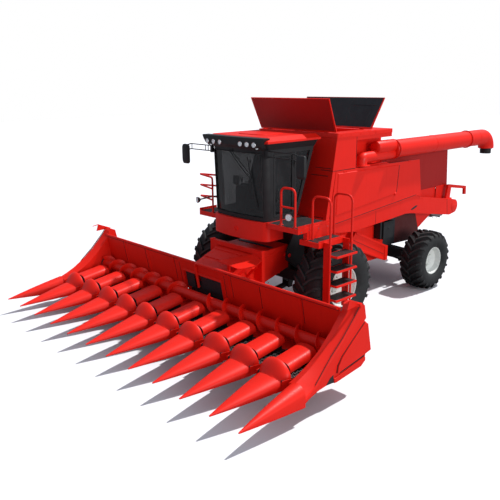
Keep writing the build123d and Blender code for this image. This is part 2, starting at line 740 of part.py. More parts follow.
door_frame_width = 55
with BuildPart() as door_frame:
    add(block(door_rear_x + door_gap, door_front_x - door_gap, cab_half_width - 45, cab_half_width,
              door_bottom_z + door_gap, door_top_z - door_gap))
    inner_cut = block(door_rear_x + door_gap + door_frame_width, door_front_x - door_gap - door_frame_width,
                      cab_half_width - 60, cab_half_width + 10,
                      door_bottom_z + door_gap + door_frame_width, door_top_z - door_gap - door_frame_width)
    add(inner_cut, mode=Mode.SUBTRACT)
    for z in door_hinge_zs:
        low = z - hinge_leaf / 2
        high = z + hinge_leaf / 2
        add(block(door_hinge_x, door_hinge_x + 34, cab_half_width - 1, door_hinge_y, low, high))
        add(rod((door_hinge_x, door_hinge_y, low), (door_hinge_x, door_hinge_y, high), hinge_radius))
door_frame.part.label = "door_frame"
export_step(door_frame.part, "parts/door_frame.step")
with BuildPart() as door_glass:
    add(block(door_rear_x + door_gap + door_frame_width, door_front_x - door_gap - door_frame_width,
              cab_half_width - 28, cab_half_width - 18,
              door_bottom_z + door_gap + door_frame_width, door_top_z - door_gap - door_frame_width))
door_glass.part.label = "door_glass"
export_step(door_glass.part, "parts/door_glass.step")

# Roof: a dark fascia with six lamps in it, under a red cap
lamp_ys = [320, 530, 740]
lamp_x = 1345
lamp_z = 4015
lamp_radius = 56
with BuildPart() as cab_fascia:
    with BuildSketch(level(cab_top_z + seat_gap)) as low_plan:
        with BuildLine():
            Line((cab_rear_top_x, -870), (1230, -870))
            ThreePointArc((1230, -870), (1320, 0), (1230, 870))
            Polyline((1230, 870), (cab_rear_top_x, 870), (cab_rear_top_x, -870))
        make_face()
        fillet(low_plan.vertices().sort_by(Axis.X)[-2:], cab_corner_radius)
    with BuildSketch(level(roof_z)) as high_plan:
        with BuildLine():
            Line((cab_rear_top_x, -980), (1290, -980))
            ThreePointArc((1290, -980), (1350, 0), (1290, 980))
            Polyline((1290, 980), (cab_rear_top_x, 980), (cab_rear_top_x, -980))
        make_face()
        fillet(high_plan.vertices().sort_by(Axis.X)[-2:], 60)
    loft(ruled=True)
    for y in lamp_ys:
        for turn in (-1, 1):
            add(rod((lamp_x - 60 - seat_gap, turn * y, lamp_z), (lamp_x + 60, turn * y, lamp_z),
                    lamp_radius + seat_gap), mode=Mode.SUBTRACT)
cab_fascia.part.label = "cab_fascia"
export_step(cab_fascia.part, "parts/cab_fascia.step")
with BuildPart() as cab_roof:
    for z, inset in ((roof_z + seat_gap, 0), (roof_z + 45, 0), (roof_z + roof_thickness, 170)):
        with BuildSketch(level(z)):
            with BuildLine():
                Line((roof_rear_x, -roof_half_width + inset), (roof_front_x - 60 - inset, -roof_half_width + inset))
                ThreePointArc((roof_front_x - 60 - inset, -roof_half_width + inset), (roof_front_x - inset, 0),
                              (roof_front_x - 60 - inset, roof_half_width - inset))
                Polyline((roof_front_x - 60 - inset, roof_half_width - inset),
                         (roof_rear_x, roof_half_width - inset), (roof_rear_x, -roof_half_width + inset))
            make_face()
    loft(ruled=True)
cab_roof.part.label = "cab_roof"
export_step(cab_roof.part, "parts/cab_roof.step")

# Skirt under the cab: a floor plate and a bowed apron with side walls
skirt_front_x = 1190
skirt_bow = 130
skirt_low_z = 1975
skirt_wall = 45


def skirt_plan(z, inset, rear):
    """Outline of the skirt at one height, drawn in by the inset."""
    corner = skirt_front_x - inset
    half = skirt_half_width - inset
    with BuildSketch(level(z)) as plan:
        with BuildLine():
            Line((rear, -half), (corner, -half))
            ThreePointArc((corner, -half), (corner + skirt_bow, 0), (corner, half))
            Polyline((corner, half), (rear, half), (rear, -half))
        make_face()
        fillet(plan.vertices().sort_by(Axis.X)[-2:], cab_corner_radius - inset)
    return plan.sketch


floor_plate = extrude(skirt_plan(2300 + seat_gap, 0, 150), amount=cab_floor_z - 2300 - 2 * seat_gap)
apron = extrude(skirt_plan(skirt_low_z, 0, 700), amount=2301 - skirt_low_z)
apron_hollow = extrude(skirt_plan(skirt_low_z - 1, skirt_wall, 690), amount=2310 - skirt_low_z)
apron_wall = apron - apron_hollow
with BuildPart() as cab_skirt:
    add(floor_plate)
    add(apron_wall)
cab_skirt.part.label = "cab_skirt"
export_step(cab_skirt.part, "parts/cab_skirt.step")

# Seat, console and steering column inside the cab
seat_x = 480
inside_floor = cab_floor_z + cab_wall
with BuildPart() as cab_seat:
    add(block(seat_x - 160, seat_x + 200, -200, 200, inside_floor, inside_floor + 330))
    add(block(seat_x - 250, seat_x + 250, -260, 260, inside_floor + 330, inside_floor + 470))
    add(plate([(seat_x - 260, inside_floor + 440), (seat_x - 130, inside_floor + 440),
               (seat_x - 210, inside_floor + 1080), (seat_x - 310, inside_floor + 1080)], -240, 240))
cab_seat.part.label = "cab_seat"
export_step(cab_seat.part, "parts/cab_seat.step")
with BuildPart() as cab_controls:
    add(plate([(960, inside_floor), (1060, inside_floor), (890, inside_floor + 640), (810, inside_floor + 640)],
              -45, 45))
    add(rod((845, 0, inside_floor + 620), (836, 0, inside_floor + 660), 200))
    add(block(seat_x - 130, seat_x + 380, -480, -300, inside_floor, inside_floor + 560))
cab_controls.part.label = "cab_controls"
export_step(cab_controls.part, "parts/cab_controls.step")

# Decks beside the cab and the landing over the ladder
with BuildPart() as platforms:
    add(block(150, 1180, skirt_half_width + seat_gap, 1770, deck_top_z - plate_thickness, deck_top_z))
    add(block(100, 950, 1600, landing_outer_y, landing_z - plate_thickness, landing_z))
    add(block(150, 900, 1660, 1770, landing_z - 1, deck_top_z - plate_thickness + 1))
    add(block(550, 1280, -1670, -skirt_half_width - seat_gap, 2300 - plate_thickness, 2300))
platforms.part.label = "platforms"
export_step(platforms.part, "parts/platforms.step")

# Ladder: two stringers and four treads, hung on the landing
ladder_front_x = 800
ladder_rear_x = 150
stringer = 30
tread_count = 4
tread_pitch = 311
top_tread_z = 1890
with BuildPart() as ladder:
    for x in (ladder_rear_x, ladder_front_x - stringer):
        add(block(x, x + stringer, landing_outer_y + seat_gap, 2290, 620, landing_z))
    for index in range(tread_count):
        z = top_tread_z - index * tread_pitch
        add(block(ladder_rear_x, ladder_front_x, landing_outer_y + 40, 2500, z - 40, z))
ladder.part.label = "ladder"
export_step(ladder.part, "parts/ladder.step")

# Handrails on the decks and the ladder
hoop_inner_y = 1840
hoop_outer_y = 2320
hoop_front_x = ladder_front_x + rail_radius + seat_gap
hoop_rear_x = ladder_rear_x - rail_radius - seat_gap
rail_runs = [
    # points along the run, bend radius
    ([(hoop_front_x, hoop_inner_y, landing_z + seat_gap), (hoop_front_x, hoop_inner_y, 2960),
      (hoop_front_x, hoop_outer_y, 2960), (hoop_front_x, hoop_outer_y, 640)], 150),
    ([(hoop_rear_x, hoop_inner_y, landing_z + seat_gap), (hoop_rear_x, hoop_inner_y, 2940),
      (hoop_rear_x, hoop_outer_y, 2940), (hoop_rear_x, hoop_outer_y, 640)], 150),
    ([(1110, 1220, deck_top_z + seat_gap), (1110, 1220, 3120), (1110, 1580, 3120),
      (1110, 1580, deck_top_z + seat_gap)], 120),
]
rails = [pipe(points, rail_radius, bend) for points, bend in rail_runs]
right_post_y = -1200
right_post_xs = (610, 950)
right_rail_top = 3150
hoop_reach_y = -1720
right_runs = [pipe([(right_post_xs[1], right_post_y, 2300 + seat_gap), (right_post_xs[1], right_post_y, right_rail_top),
                    (780, hoop_reach_y, right_rail_top + 20), (right_post_xs[0], right_post_y, right_rail_top + 20),
                    (right_post_xs[0], right_post_y, 2300 + seat_gap)], rail_radius, 60)]
for z in (2600, 2870):
    right_runs.append(pipe([(right_post_xs[1], right_post_y, z), (780, hoop_reach_y, z + 20),
                            (right_post_xs[0], right_post_y, z + 20)], rail_radius * 0.9, 60))
with BuildPart() as handrails:
    for run in rails:
        add(run)
    add(rod((1110, 1220, 2770), (1110, 1580, 2770), rail_radius * 0.9))
    for run in right_runs:
        add(run)
handrails.part.label = "handrails"
export_step(handrails.part, "parts/handrails.step")

# Mirrors on tube brackets, and the lamps
mirror_x = 1210
mirror_y_place = 1850
mirror_z = 3690
mirror_brackets = {}
for turn in (-1, 1):
    runs = []
    for z in (3900, 3790):
        points = [(990, turn * (cab_half_width + seat_gap), z), (990, turn * 1000, z),
                  (mirror_x, turn * (mirror_y_place - 80), z + 20)]
        runs.append(pipe(points, 14, 60))
    mirror_brackets[turn] = runs
with BuildPart() as mirrors:
    for turn in (-1, 1):
        y_edges = sorted((turn * (mirror_y_place - 90), turn * (mirror_y_place + 90)))
        add(block(mirror_x - 40, mirror_x + 30, *y_edges, mirror_z - 260, mirror_z + 230))
        for bracket in mirror_brackets[turn]:
            add(bracket)
mirrors.part.label = "mirrors"
export_step(mirrors.part, "parts/mirrors.step")

with BuildPart() as lamps:
    for y in lamp_ys:
        for turn in (-1, 1):
            add(rod((lamp_x - 60, turn * y, lamp_z), (lamp_x, turn * y, lamp_z), lamp_radius))
lamps.part.label = "lamps"
export_step(lamps.part, "parts/lamps.step")

sheet_angle_x = auger_x - trough_radius
# Feeder house: a sloping trunk, open at its front, with walls all round
feeder_top = [(feeder_rear_x, 1720), (1250, 1690), (feeder_front_x, feeder_top_front_z)]
feeder_bottom = [(feeder_front_x, feeder_bottom_front_z), (900, 1010), (feeder_rear_x, 1190)]
with BuildPart() as feeder_house:
    add(plate(feeder_top + feeder_bottom, -feeder_half_width, feeder_half_width))
    hollow = [(feeder_rear_x + feeder_wall, 1720 - feeder_wall), (1250, 1690 - feeder_wall),
              (feeder_front_x + 1, feeder_top_front_z - feeder_wall),
              (feeder_front_x + 1, feeder_bottom_front_z + feeder_wall), (900, 1010 + feeder_wall),
              (feeder_rear_x + feeder_wall, 1190 + feeder_wall)]
    add(plate(hollow, -feeder_half_width + feeder_wall, feeder_half_width - feeder_wall), mode=Mode.SUBTRACT)
    for turn in (-1, 1):
        pivot_start = (feeder_pivot_x, turn * (feeder_half_width - 5), feeder_pivot_z)
        pivot_end = (feeder_pivot_x, turn * (ear_y + ear_thickness + 6), feeder_pivot_z)
        add(rod(pivot_start, pivot_end, feeder_pin_radius))
        y_edges = sorted((turn * (feeder_half_width - 1), turn * 860))
        add(block(1240, 1330, *y_edges, 1050, 1780))
        y_edges = sorted((turn * (feeder_half_width - 1), turn * 760))
        lean = (sheet_top_x - sheet_angle_x) / (sheet_top_z - auger_z)
        low_x = sheet_angle_x - sheet_thickness - seat_gap
        add(plate([(low_x, auger_z), (low_x + lean * (feeder_top_front_z - auger_z), feeder_top_front_z),
                   (2060, feeder_top_front_z), (1980, 1200), (1980, auger_z)], *y_edges))
        for gap in (-1, 1):
            eye_y = turn * lift_y + gap * (eye_half_width + seat_gap + 12)
            add(plate([(lift_eye_x - 60, lift_eye_z - 50), (lift_eye_x + 60, lift_eye_z - 50), (1700, 800),
                       (1250, 930)], eye_y - 12, eye_y + 12))
    add(block(1240, 1330, -860, 860, 1690, 1790))
feeder_house.part.label = "feeder_house"
export_step(feeder_house.part, "parts/feeder_house.step")

# Header frame: back sheet, trough and toolbar in one bent profile
trough_end_x = deck_rear_x
seam_ys = [-3000, -2000, -1000, 900, 1800, 2900]
post_y = -140
bent_edge = pipe([(sheet_top_x + 28, frame_half_width - 20, sheet_top_z + 10), (sheet_top_x + 28, post_y, sheet_top_z + 10),
                  (sheet_angle_x + 60, post_y, auger_z + 150)], 30, 120)
with BuildPart() as header_frame:
    with BuildSketch(side(frame_half_width)):
        with BuildLine():
            Line((sheet_top_x, sheet_top_z), (sheet_angle_x, auger_z))
            ThreePointArc((sheet_angle_x, auger_z),
                          (auger_x - trough_radius * sin(pi / 4), auger_z - trough_radius * cos(pi / 4)),
                          (auger_x, auger_z - trough_radius))
            Line((auger_x, auger_z - trough_radius), (trough_end_x, auger_z - trough_radius))
            Line((trough_end_x, auger_z - trough_radius), (trough_end_x, deck_z - toolbar_height))
            Line((trough_end_x, deck_z - toolbar_height), (trough_end_x - toolbar_depth, deck_z - toolbar_height))
            Line((trough_end_x - toolbar_depth, deck_z - toolbar_height),
                 (auger_x, auger_z - trough_radius - sheet_thickness))
            ThreePointArc((auger_x, auger_z - trough_radius - sheet_thickness),
                          (auger_x - (trough_radius + sheet_thickness) * sin(pi / 4),
                           auger_z - (trough_radius + sheet_thickness) * cos(pi / 4)),
                          (sheet_angle_x - sheet_thickness, auger_z))
            Line((sheet_angle_x - sheet_thickness, auger_z), (sheet_top_x - sheet_thickness, sheet_top_z))
            Line((sheet_top_x - sheet_thickness, sheet_top_z), (sheet_top_x, sheet_top_z))
        make_face()
    extrude(amount=2 * frame_half_width)
    add(rod((sheet_top_x - 10, -frame_half_width, sheet_top_z), (sheet_top_x - 10, frame_half_width, sheet_top_z), 24))
    add(block(2050, 2420, -mouth_half_width, mouth_half_width, deck_z + 60, mouth_top_z), mode=Mode.SUBTRACT)
    add(bent_edge)
    for y in seam_ys:
        add(plate([(sheet_angle_x + 10, auger_z + 90), (sheet_top_x - 12, sheet_top_z - 45),
                   (sheet_top_x + 6, sheet_top_z - 45), (sheet_angle_x + 28, auger_z + 90)], y - 20, y + 20))
header_frame.part.label = "header_frame"
export_step(header_frame.part, "parts/header_frame.step")

# Snouts, decks and hoods stand at the same places across the head
inner_ys = [(index - (row_count - 2) / 2) * row_pitch for index in range(row_count - 1)]
end_y = inner_ys[-1] + end_row_pitch


def hood_section(x, y, half, low, spring, top):
    """Arched section: straight sides up to the spring line, then one arc over the top."""
    with BuildSketch(front(x)) as section:
        with BuildLine():
            Line((y - half, spring), (y - half, low))
            Line((y - half, low), (y + half, low))
            Line((y + half, low), (y + half, spring))
            ThreePointArc((y + half, spring), (y, top), (y - half, spring))
        make_face()
    return section.sketch


arch_share = 0.65
snout_sections = [
    # x, half width, low z, top z
    (snout_tip_x, 12, snout_tip_z - 14, snout_tip_z + 4),
    (crease_x + 0.5 * (snout_tip_x - crease_x), 165, 395, 522),
    (crease_x, snout_half_width, 430, crease_z),
]
snout_pieces = []
for y in inner_ys:
    sections = [hood_section(x, y, half, low, top - arch_share * half, top) for x, half, low, top in snout_sections]
    snout_pieces.append(loft(sections, ruled=True))
end_arch_share = 0.95
end_sections = [
    # x, half width, low z, top z
    (snout_tip_x, 12, snout_tip_z - 14, snout_tip_z + 4),
    (crease_x + 0.5 * (snout_tip_x - crease_x), 120, 350, 522),
    (crease_x, 270, 290, 690),
]
for turn in (-1, 1):
    sections = []
    for x, half, low, top in end_sections:
        sections.append(hood_section(x, turn * end_y, half, low, top - end_arch_share * half, top))
    snout_pieces.append(loft(sections, ruled=True))
with BuildPart() as snouts:
    for piece in snout_pieces:
        add(piece)
snouts.part.label = "snouts"
export_step(snouts.part, "parts/snouts.step")

def row_hood_top(x):
    """Height of a row hood's flat top at one place along it."""
    share = (x - row_hood_front_x) / (row_hood_rear_x - row_hood_front_x)
    return row_hood_front_z + share * (row_hood_rear_z - row_hood_front_z)


# Row decks: dark plates with the stalk slots between them and a spine under each hood
spine_half = 150
deck_pieces = []
for y in inner_ys:
    with BuildPart() as deck:
        with BuildSketch(level(deck_z - deck_thickness)):
            with BuildLine():
                Polyline(
                    (deck_rear_x, y - deck_half_width),
                    (crease_x - 250, y - deck_half_width),
                    (crease_x - seat_gap, y - snout_half_width),
                    (crease_x - seat_gap, y + snout_half_width),
                    (crease_x - 250, y + deck_half_width),
                    (deck_rear_x, y + deck_half_width),
                    close=True,
                )
            make_face()
        extrude(amount=deck_thickness)
        spine_front = row_hood_front_x - 150
        spine_rear = row_hood_rear_x + 15
        spine = [(spine_rear, deck_z - 1), (spine_front, deck_z - 1),
                 (spine_front, row_hood_top(spine_front) - row_hood_depth),
                 (spine_rear, row_hood_top(spine_rear) - row_hood_depth)]
        add(plate(spine, y - spine_half, y + spine_half))
    deck_pieces.append(deck.part)
with BuildPart() as row_decks:
    for piece in deck_pieces:
        add(piece)
row_decks.part.label = "row_decks"
export_step(row_decks.part, "parts/row_decks.step")

# Collars and hoods: the arched collar behind each snout and the long hood behind it
hood_pieces = []
for y in inner_ys:
    near = hood_section(crease_x - seat_gap, y, snout_half_width, deck_z + seat_gap, deck_z + 2, crease_z)
    far = hood_section(arch_x, y, arch_half_width, deck_z + seat_gap, deck_z + 40, arch_z)
    near_inner = hood_section(crease_x - 22, y, snout_half_width - collar_wall, deck_z - 1, deck_z + 2,
                              crease_z - 12)
    far_inner = hood_section(arch_x - 1, y, arch_half_width - collar_wall, deck_z - 1, deck_z + 40,
                             arch_z - collar_wall)
    hood_pieces.append(loft([near, far], ruled=True) - loft([near_inner, far_inner], ruled=True))
    ends = []
    for x, top in ((row_hood_front_x, row_hood_front_z), (row_hood_rear_x, row_hood_rear_z)):
        with BuildSketch(front(x)) as section:
            with BuildLine():
                Polyline(
                    (y - row_hood_half_width, top - row_hood_depth + seat_gap),
                    (y + row_hood_half_width, top - row_hood_depth + seat_gap),
                    (y + row_hood_half_width, top - 90),
                    (y + row_hood_half_width - 110, top),
                    (y - row_hood_half_width + 110, top),
                    (y - row_hood_half_width, top - 90),
                    close=True,
                )
            make_face()
        ends.append(section.sketch)
    hood_pieces.append(loft(ends, ruled=True))
with BuildPart() as row_hoods:
    for piece in hood_pieces:
        add(piece)
row_hoods.part.label = "row_hoods"
export_step(row_hoods.part, "parts/row_hoods.step")

# End shields: deep side panels that rise from the end snouts to the back sheet
end_outline = [
    (crease_x - seat_gap, 300), (crease_x - seat_gap, 680), (3380, 830), (2770, 1310), (2450, 1590), (2300, 1700),
    (2080, 1620), (1980, 1300), (1870, 750), (1970, 500), (2760, 420), (3200, 400), (3450, 290),
]
raised_field = [(3150, 600), (2480, 1230), (2200, 1500), (2080, 1150), (2000, 760), (2620, 585)]
with BuildPart() as end_shields:
    for turn in (-1, 1):
        outer_y = turn * (shield_outer_y - 40)
        add(plate(end_outline, *sorted((turn * (frame_half_width + seat_gap), outer_y))))
        with BuildSketch(side(outer_y)):
            with BuildLine():
                Polyline(*raised_field, close=True)
            make_face()
        extrude(amount=-40 if turn > 0 else 40, taper=35)
end_shields.part.label = "end_shields"
export_step(end_shields.part, "parts/end_shields.step")

# Cross auger: a tube with opposed flights that carry the crop to the middle
flight_gap = 25
with BuildPart() as cross_auger:
    add(rod((auger_x, -frame_half_width, auger_z), (auger_x, frame_half_width, auger_z),
            auger_tube_radius))
flight_length = frame_half_width - 90 - 450
flights = []
for turn in (-1, 1):
    start_y = turn * 450
    helix = Helix(pitch=flight_pitch, height=flight_length, radius=(auger_tube_radius + flight_radius) / 2 - 5,
                  center=(front_axle_x + auger_x, start_y, auger_z), direction=(0, turn, 0), lefthand=turn < 0)
    start_point = helix @ 0
    radial = start_point - Vector(front_axle_x + auger_x, start_y, auger_z)
    blade_plane = Plane(origin=start_point, x_dir=radial, z_dir=helix % 0)
    blade = blade_plane * Rectangle(flight_radius - auger_tube_radius + 10, flight_thickness)
    flights.append(sweep(blade, path=helix, is_frenet=True))
with BuildPart() as auger_with_flights:
    add(cross_auger.part)
    for flight in flights:
        add(flight)
auger_with_flights.part.label = "cross_auger"
export_step(auger_with_flights.part, "parts/cross_auger.step")

# Header lift cylinders between the front axle and the feeder house
run_x = lift_eye_x - lift_pin_x
run_z = lift_eye_z - lift_pin_z
run = (run_x ** 2 + run_z ** 2) ** 0.5
along_x = run_x / run
along_z = run_z / run
with BuildPart() as lift_barrels:
    for turn in (-1, 1):
        y = turn * lift_y
        add(rod((lift_pin_x, y - 75 + seat_gap, lift_pin_z), (lift_pin_x, y + 75 - seat_gap, lift_pin_z), 70))
        end = (lift_pin_x + along_x * 820, y, lift_pin_z + along_z * 820)
        start = (lift_pin_x + along_x * 80, y, lift_pin_z + along_z * 80)
        add(rod((lift_pin_x + along_x * 20, y, lift_pin_z + along_z * 20), end, barrel_radius))
        with Locations(Plane(origin=(front_axle_x + end[0], y, end[2]), z_dir=(along_x, 0, along_z))):
            Hole(rod_radius + 1, depth=700)
lift_barrels.part.label = "lift_barrels"
export_step(lift_barrels.part, "parts/lift_barrels.step")
with BuildPart() as lift_rods:
    for turn in (-1, 1):
        y = turn * lift_y
        start = (lift_pin_x + along_x * 300, y, lift_pin_z + along_z * 300)
        end = (lift_eye_x - along_x * 50, y, lift_eye_z - along_z * 50)
        add(rod(start, end, rod_radius))
        add(rod((lift_eye_x, y - eye_half_width, lift_eye_z), (lift_eye_x, y + eye_half_width, lift_eye_z), 60))
lift_rods.part.label = "lift_rods"
export_step(lift_rods.part, "parts/lift_rods.step")
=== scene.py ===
from math import asin, cos, pi, radians, sin, tau

import bmesh
import bpy
from bpy.props import BoolProperty, FloatProperty, FloatVectorProperty, IntProperty, PointerProperty
from mathutils import Matrix, Vector


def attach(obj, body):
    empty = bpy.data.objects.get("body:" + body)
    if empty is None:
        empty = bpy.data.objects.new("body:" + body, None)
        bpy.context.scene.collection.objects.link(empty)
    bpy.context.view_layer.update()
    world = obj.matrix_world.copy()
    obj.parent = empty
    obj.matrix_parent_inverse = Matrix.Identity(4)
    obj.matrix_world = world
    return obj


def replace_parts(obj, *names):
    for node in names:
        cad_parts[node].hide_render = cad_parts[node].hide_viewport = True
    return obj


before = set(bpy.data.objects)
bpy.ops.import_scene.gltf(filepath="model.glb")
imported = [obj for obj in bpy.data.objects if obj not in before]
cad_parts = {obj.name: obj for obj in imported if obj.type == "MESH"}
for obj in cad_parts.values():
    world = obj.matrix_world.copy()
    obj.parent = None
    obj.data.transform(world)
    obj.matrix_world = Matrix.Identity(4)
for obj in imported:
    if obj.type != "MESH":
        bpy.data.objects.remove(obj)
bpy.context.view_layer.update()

bl_info = {
    "name": "Combine harvester dressing",
    "version": (1, 0, 0),
    "blender": (4, 5, 0),
    "location": "3D View > Sidebar > Harvester",
    "description": "Paints the packed combine harvester and adds its small parts, lights, floor and camera",
    "category": "Object",
}

# Place of the front axle in the row frame. Every other place in this script is given from it, in metres.
FRONT_AXLE_X = 1.436
SIDES = {"left": 1, "right": -1}
AXLES = {
    # axle: x, wheels' y, tyre radius, rim radius, rim's edge from y, disc from y, tyre width, lugs, lug width
    "front": (0.0, 1.725, 0.973, 0.452, 0.312, 0.094, 0.78, 24, 0.062),
    "rear": (-3.84, 1.660, 0.767, 0.355, 0.256, 0.077, 0.64, 22, 0.054),
}
ROW_PITCH = 0.762
ROW_CENTRES = [(index - 4.5) * ROW_PITCH for index in range(10)]
STALK_SLOTS = [(index - 5) * ROW_PITCH for index in range(11)]
SNOUT_TIP, SNOUT_CREASE, END_SNOUT_FOOT = 4.94, 3.63, 3.60
COLLAR_SPRING = 0.58
AUGER_X, AUGER_Z = 2.45, 0.835
TUBE_Y, TUBE_Z, TUBE_RADIUS, FLANGE_RADIUS = 1.20, 3.68, 0.222, 0.244
TUBE_START, TUBE_FLANGES, SPOUT_X = -2.84, (-2.84, -6.35), -7.59
FORWARD, LEFT, UP = (1, 0, 0), (0, 1, 0), (0, 0, 1)


def at(x, y, z):
    """Point given from the front axle, in the row frame."""
    return Vector((x + FRONT_AXLE_X, y, z))


def flank(side, near, far):
    """Bounds of a span on one side of the middle plane, the lower one first."""
    return tuple(sorted((side * near, side * far)))


def linear(red, green, blue):
    """Linear colour of an sRGB colour written in whole numbers up to 255."""
    def channel(value):
        share = value / 255
        return share / 12.92 if share <= 0.04045 else ((share + 0.055) / 1.055) ** 2.4
    return (channel(red), channel(green), channel(blue), 1.0)


class HarvesterPaint(bpy.types.PropertyGroup):
    """Colours and gloss of the painted sheets."""

    red: FloatVectorProperty(name="Body red", description="Enamel of the body and the corn head", size=4,
                             subtype="COLOR", min=0.0, max=1.0, default=linear(240, 31, 15))
    # Painted shade: the body red made darker, used where faces lie in shade on the rear hood and the tank's
    # front cover.
    painted_shade_red: FloatVectorProperty(name="Shaded red", description="Body red darkened as painted shade on the rear hood and the tank's front cover", size=4,
                                   subtype="COLOR", min=0.0, max=1.0, default=linear(170, 24, 20))
    rim_white: FloatVectorProperty(name="Rim white", description="Enamel of the wheel discs", size=4,
                                   subtype="COLOR", min=0.0, max=1.0, default=linear(228, 231, 226))
    gloss: FloatProperty(name="Paint roughness", description="Roughness of clean enamel", default=0.42,
                         min=0.05, max=1.0, subtype="FACTOR")
    dust: FloatProperty(name="Dust", description="Share of dust on the lower sheets", default=0.07, min=0.0,
                        max=1.0, subtype="FACTOR")


class HarvesterSizes(bpy.types.PropertyGroup):
    """Sizes of the small parts."""

    small_bolt: FloatProperty(name="Small bolt",
                              description="Radius of the heads on decks, shields and the tube",
                              default=0.008, min=0.004, max=0.03, unit="LENGTH")
    panel_bolt: FloatProperty(name="Panel bolt",
                              description="Radius of the heads on body panels and the head",
                              default=0.009, min=0.004, max=0.03, unit="LENGTH")
    large_bolt: FloatProperty(name="Large bolt",
                              description="Radius of the heads on the rear hood and the axle",
                              default=0.010, min=0.004, max=0.03, unit="LENGTH")
    wheel_bolt: FloatProperty(name="Wheel bolt", description="Radius of a wheel bolt's head", default=0.017,
                              min=0.008, max=0.04, unit="LENGTH")
    wheel_bolts: IntProperty(name="Wheel bolts", description="Bolts that hold one wheel disc", default=10,
                             min=5, max=20)
    edge_round: FloatProperty(name="Edge rounding", description="Rounding of folded sheet edges",
                              default=0.004, min=0.001, max=0.02, unit="LENGTH")
    rib_pitch: FloatProperty(name="Tread rib pitch", description="Distance between the ribs of a wear plate",
                             default=0.055, min=0.03, max=0.2, unit="LENGTH")
    chain_pitch: FloatProperty(name="Gathering lug pitch",
                               description="Distance between lugs of a gathering chain",
                               default=0.104, min=0.05, max=0.3, unit="LENGTH")
    slat_pitch: FloatProperty(name="Air slat pitch", description="Distance between slats of an air screen",
                              default=0.032, min=0.015, max=0.1, unit="LENGTH")


class HarvesterLight(bpy.types.PropertyGroup):
    """Strength of the studio light."""

    key: FloatProperty(name="Key lamp", description="Sun from above and behind", default=3.3, min=0.0,
                       max=10.0)
    side: FloatProperty(name="Side lamp", description="Soft sun on the left side", default=1.5, min=0.0,
                        max=10.0)
    surround: FloatProperty(name="Surround", description="Light from all round", default=1.0, min=0.0,
                            max=2.0)
    show_floor: BoolProperty(name="Floor", description="Lay the pale floor", default=True)


class Wire:
    """A node socket that takes part in plain arithmetic."""

    def __init__(self, graph, socket):
        self.graph = graph
        self.socket = socket

    def __add__(self, other):
        return self.graph.math("ADD", self, other)

    def __sub__(self, other):
        return self.graph.math("SUBTRACT", self, other)

    def __rsub__(self, other):
        return self.graph.math("SUBTRACT", other, self)

    def __mul__(self, other):
        return self.graph.math("MULTIPLY", self, other)

    def __pow__(self, other):
        return self.graph.math("POWER", self, other)

    __radd__ = __add__
    __rmul__ = __mul__


class Graph:
    """A node tree and the one method that makes its nodes."""

    def __init__(self, tree):
        self.tree = tree
        self.tree.nodes.clear()

    def node(self, kind, settings=None, **inputs):
        """New node with its settings, then its inputs: a number, a vector, a Wire or several Wires."""
        made = self.tree.nodes.new(kind)
        for key, value in (settings or {}).items():
            setattr(made, key, value)
        for key, value in inputs.items():
            socket = made.inputs[int(key[1:]) if key[0] == "_" else key.replace("_", " ")]
            if isinstance(value, Wire):
                self.tree.links.new(value.socket, socket)
            elif isinstance(value, list):
                for wire in value:
                    self.tree.links.new(wire.socket, socket)
            else:
                socket.default_value = value
        return made

    def out(self, made, name=0):
        return Wire(self, made.outputs[name])

    def math(self, operation, *values):
        inputs = {f"_{index}": value for index, value in enumerate(values)}
        return self.out(self.node("ShaderNodeMath", {"operation": operation}, **inputs))


class Shade(Graph):
    """A material's shader."""

    def __init__(self, name):
        self.material = bpy.data.materials.new(name)
        self.material.use_nodes = True
        super().__init__(self.material.node_tree)

    def place(self):
        return self.out(self.node("ShaderNodeTexCoord"), "Object")

    def axis(self, name):
        return self.out(self.node("ShaderNodeSeparateXYZ", Vector=self.place()), name)

    def noise(self, scale, detail=3.0, vector=None):
        return self.out(self.node("ShaderNodeTexNoise", Vector=vector or self.place(), Scale=scale,
                                  Detail=detail))

    def stretched(self, x, y, z):
        return self.out(self.node("ShaderNodeMapping", Vector=self.place(), Scale=(x, y, z)))

    def remap(self, value, low, high, new_low=0.0, new_high=1.0):
        return self.out(self.node("ShaderNodeMapRange", Value=value, From_Min=low, From_Max=high,
                                  To_Min=new_low, To_Max=new_high))

    def blend(self, share, first, second):
        return self.out(self.node("ShaderNodeMix", {"data_type": "RGBA"}, _0=share, _6=first, _7=second), 2)

    def bump(self, height, strength, distance):
        return self.out(self.node("ShaderNodeBump", Height=height, Strength=strength, Distance=distance))

    def finish(self, **inputs):
        """Principled surface with its varying and plain inputs."""
        shader = self.node("ShaderNodeBsdfPrincipled", **inputs)
        self.node("ShaderNodeOutputMaterial", Surface=self.out(shader))
        return self.material


def tinted(colour, factor, lift=0.0):
    return tuple(min(1.0, channel * factor + lift) for channel in colour[:3]) + (1.0,)


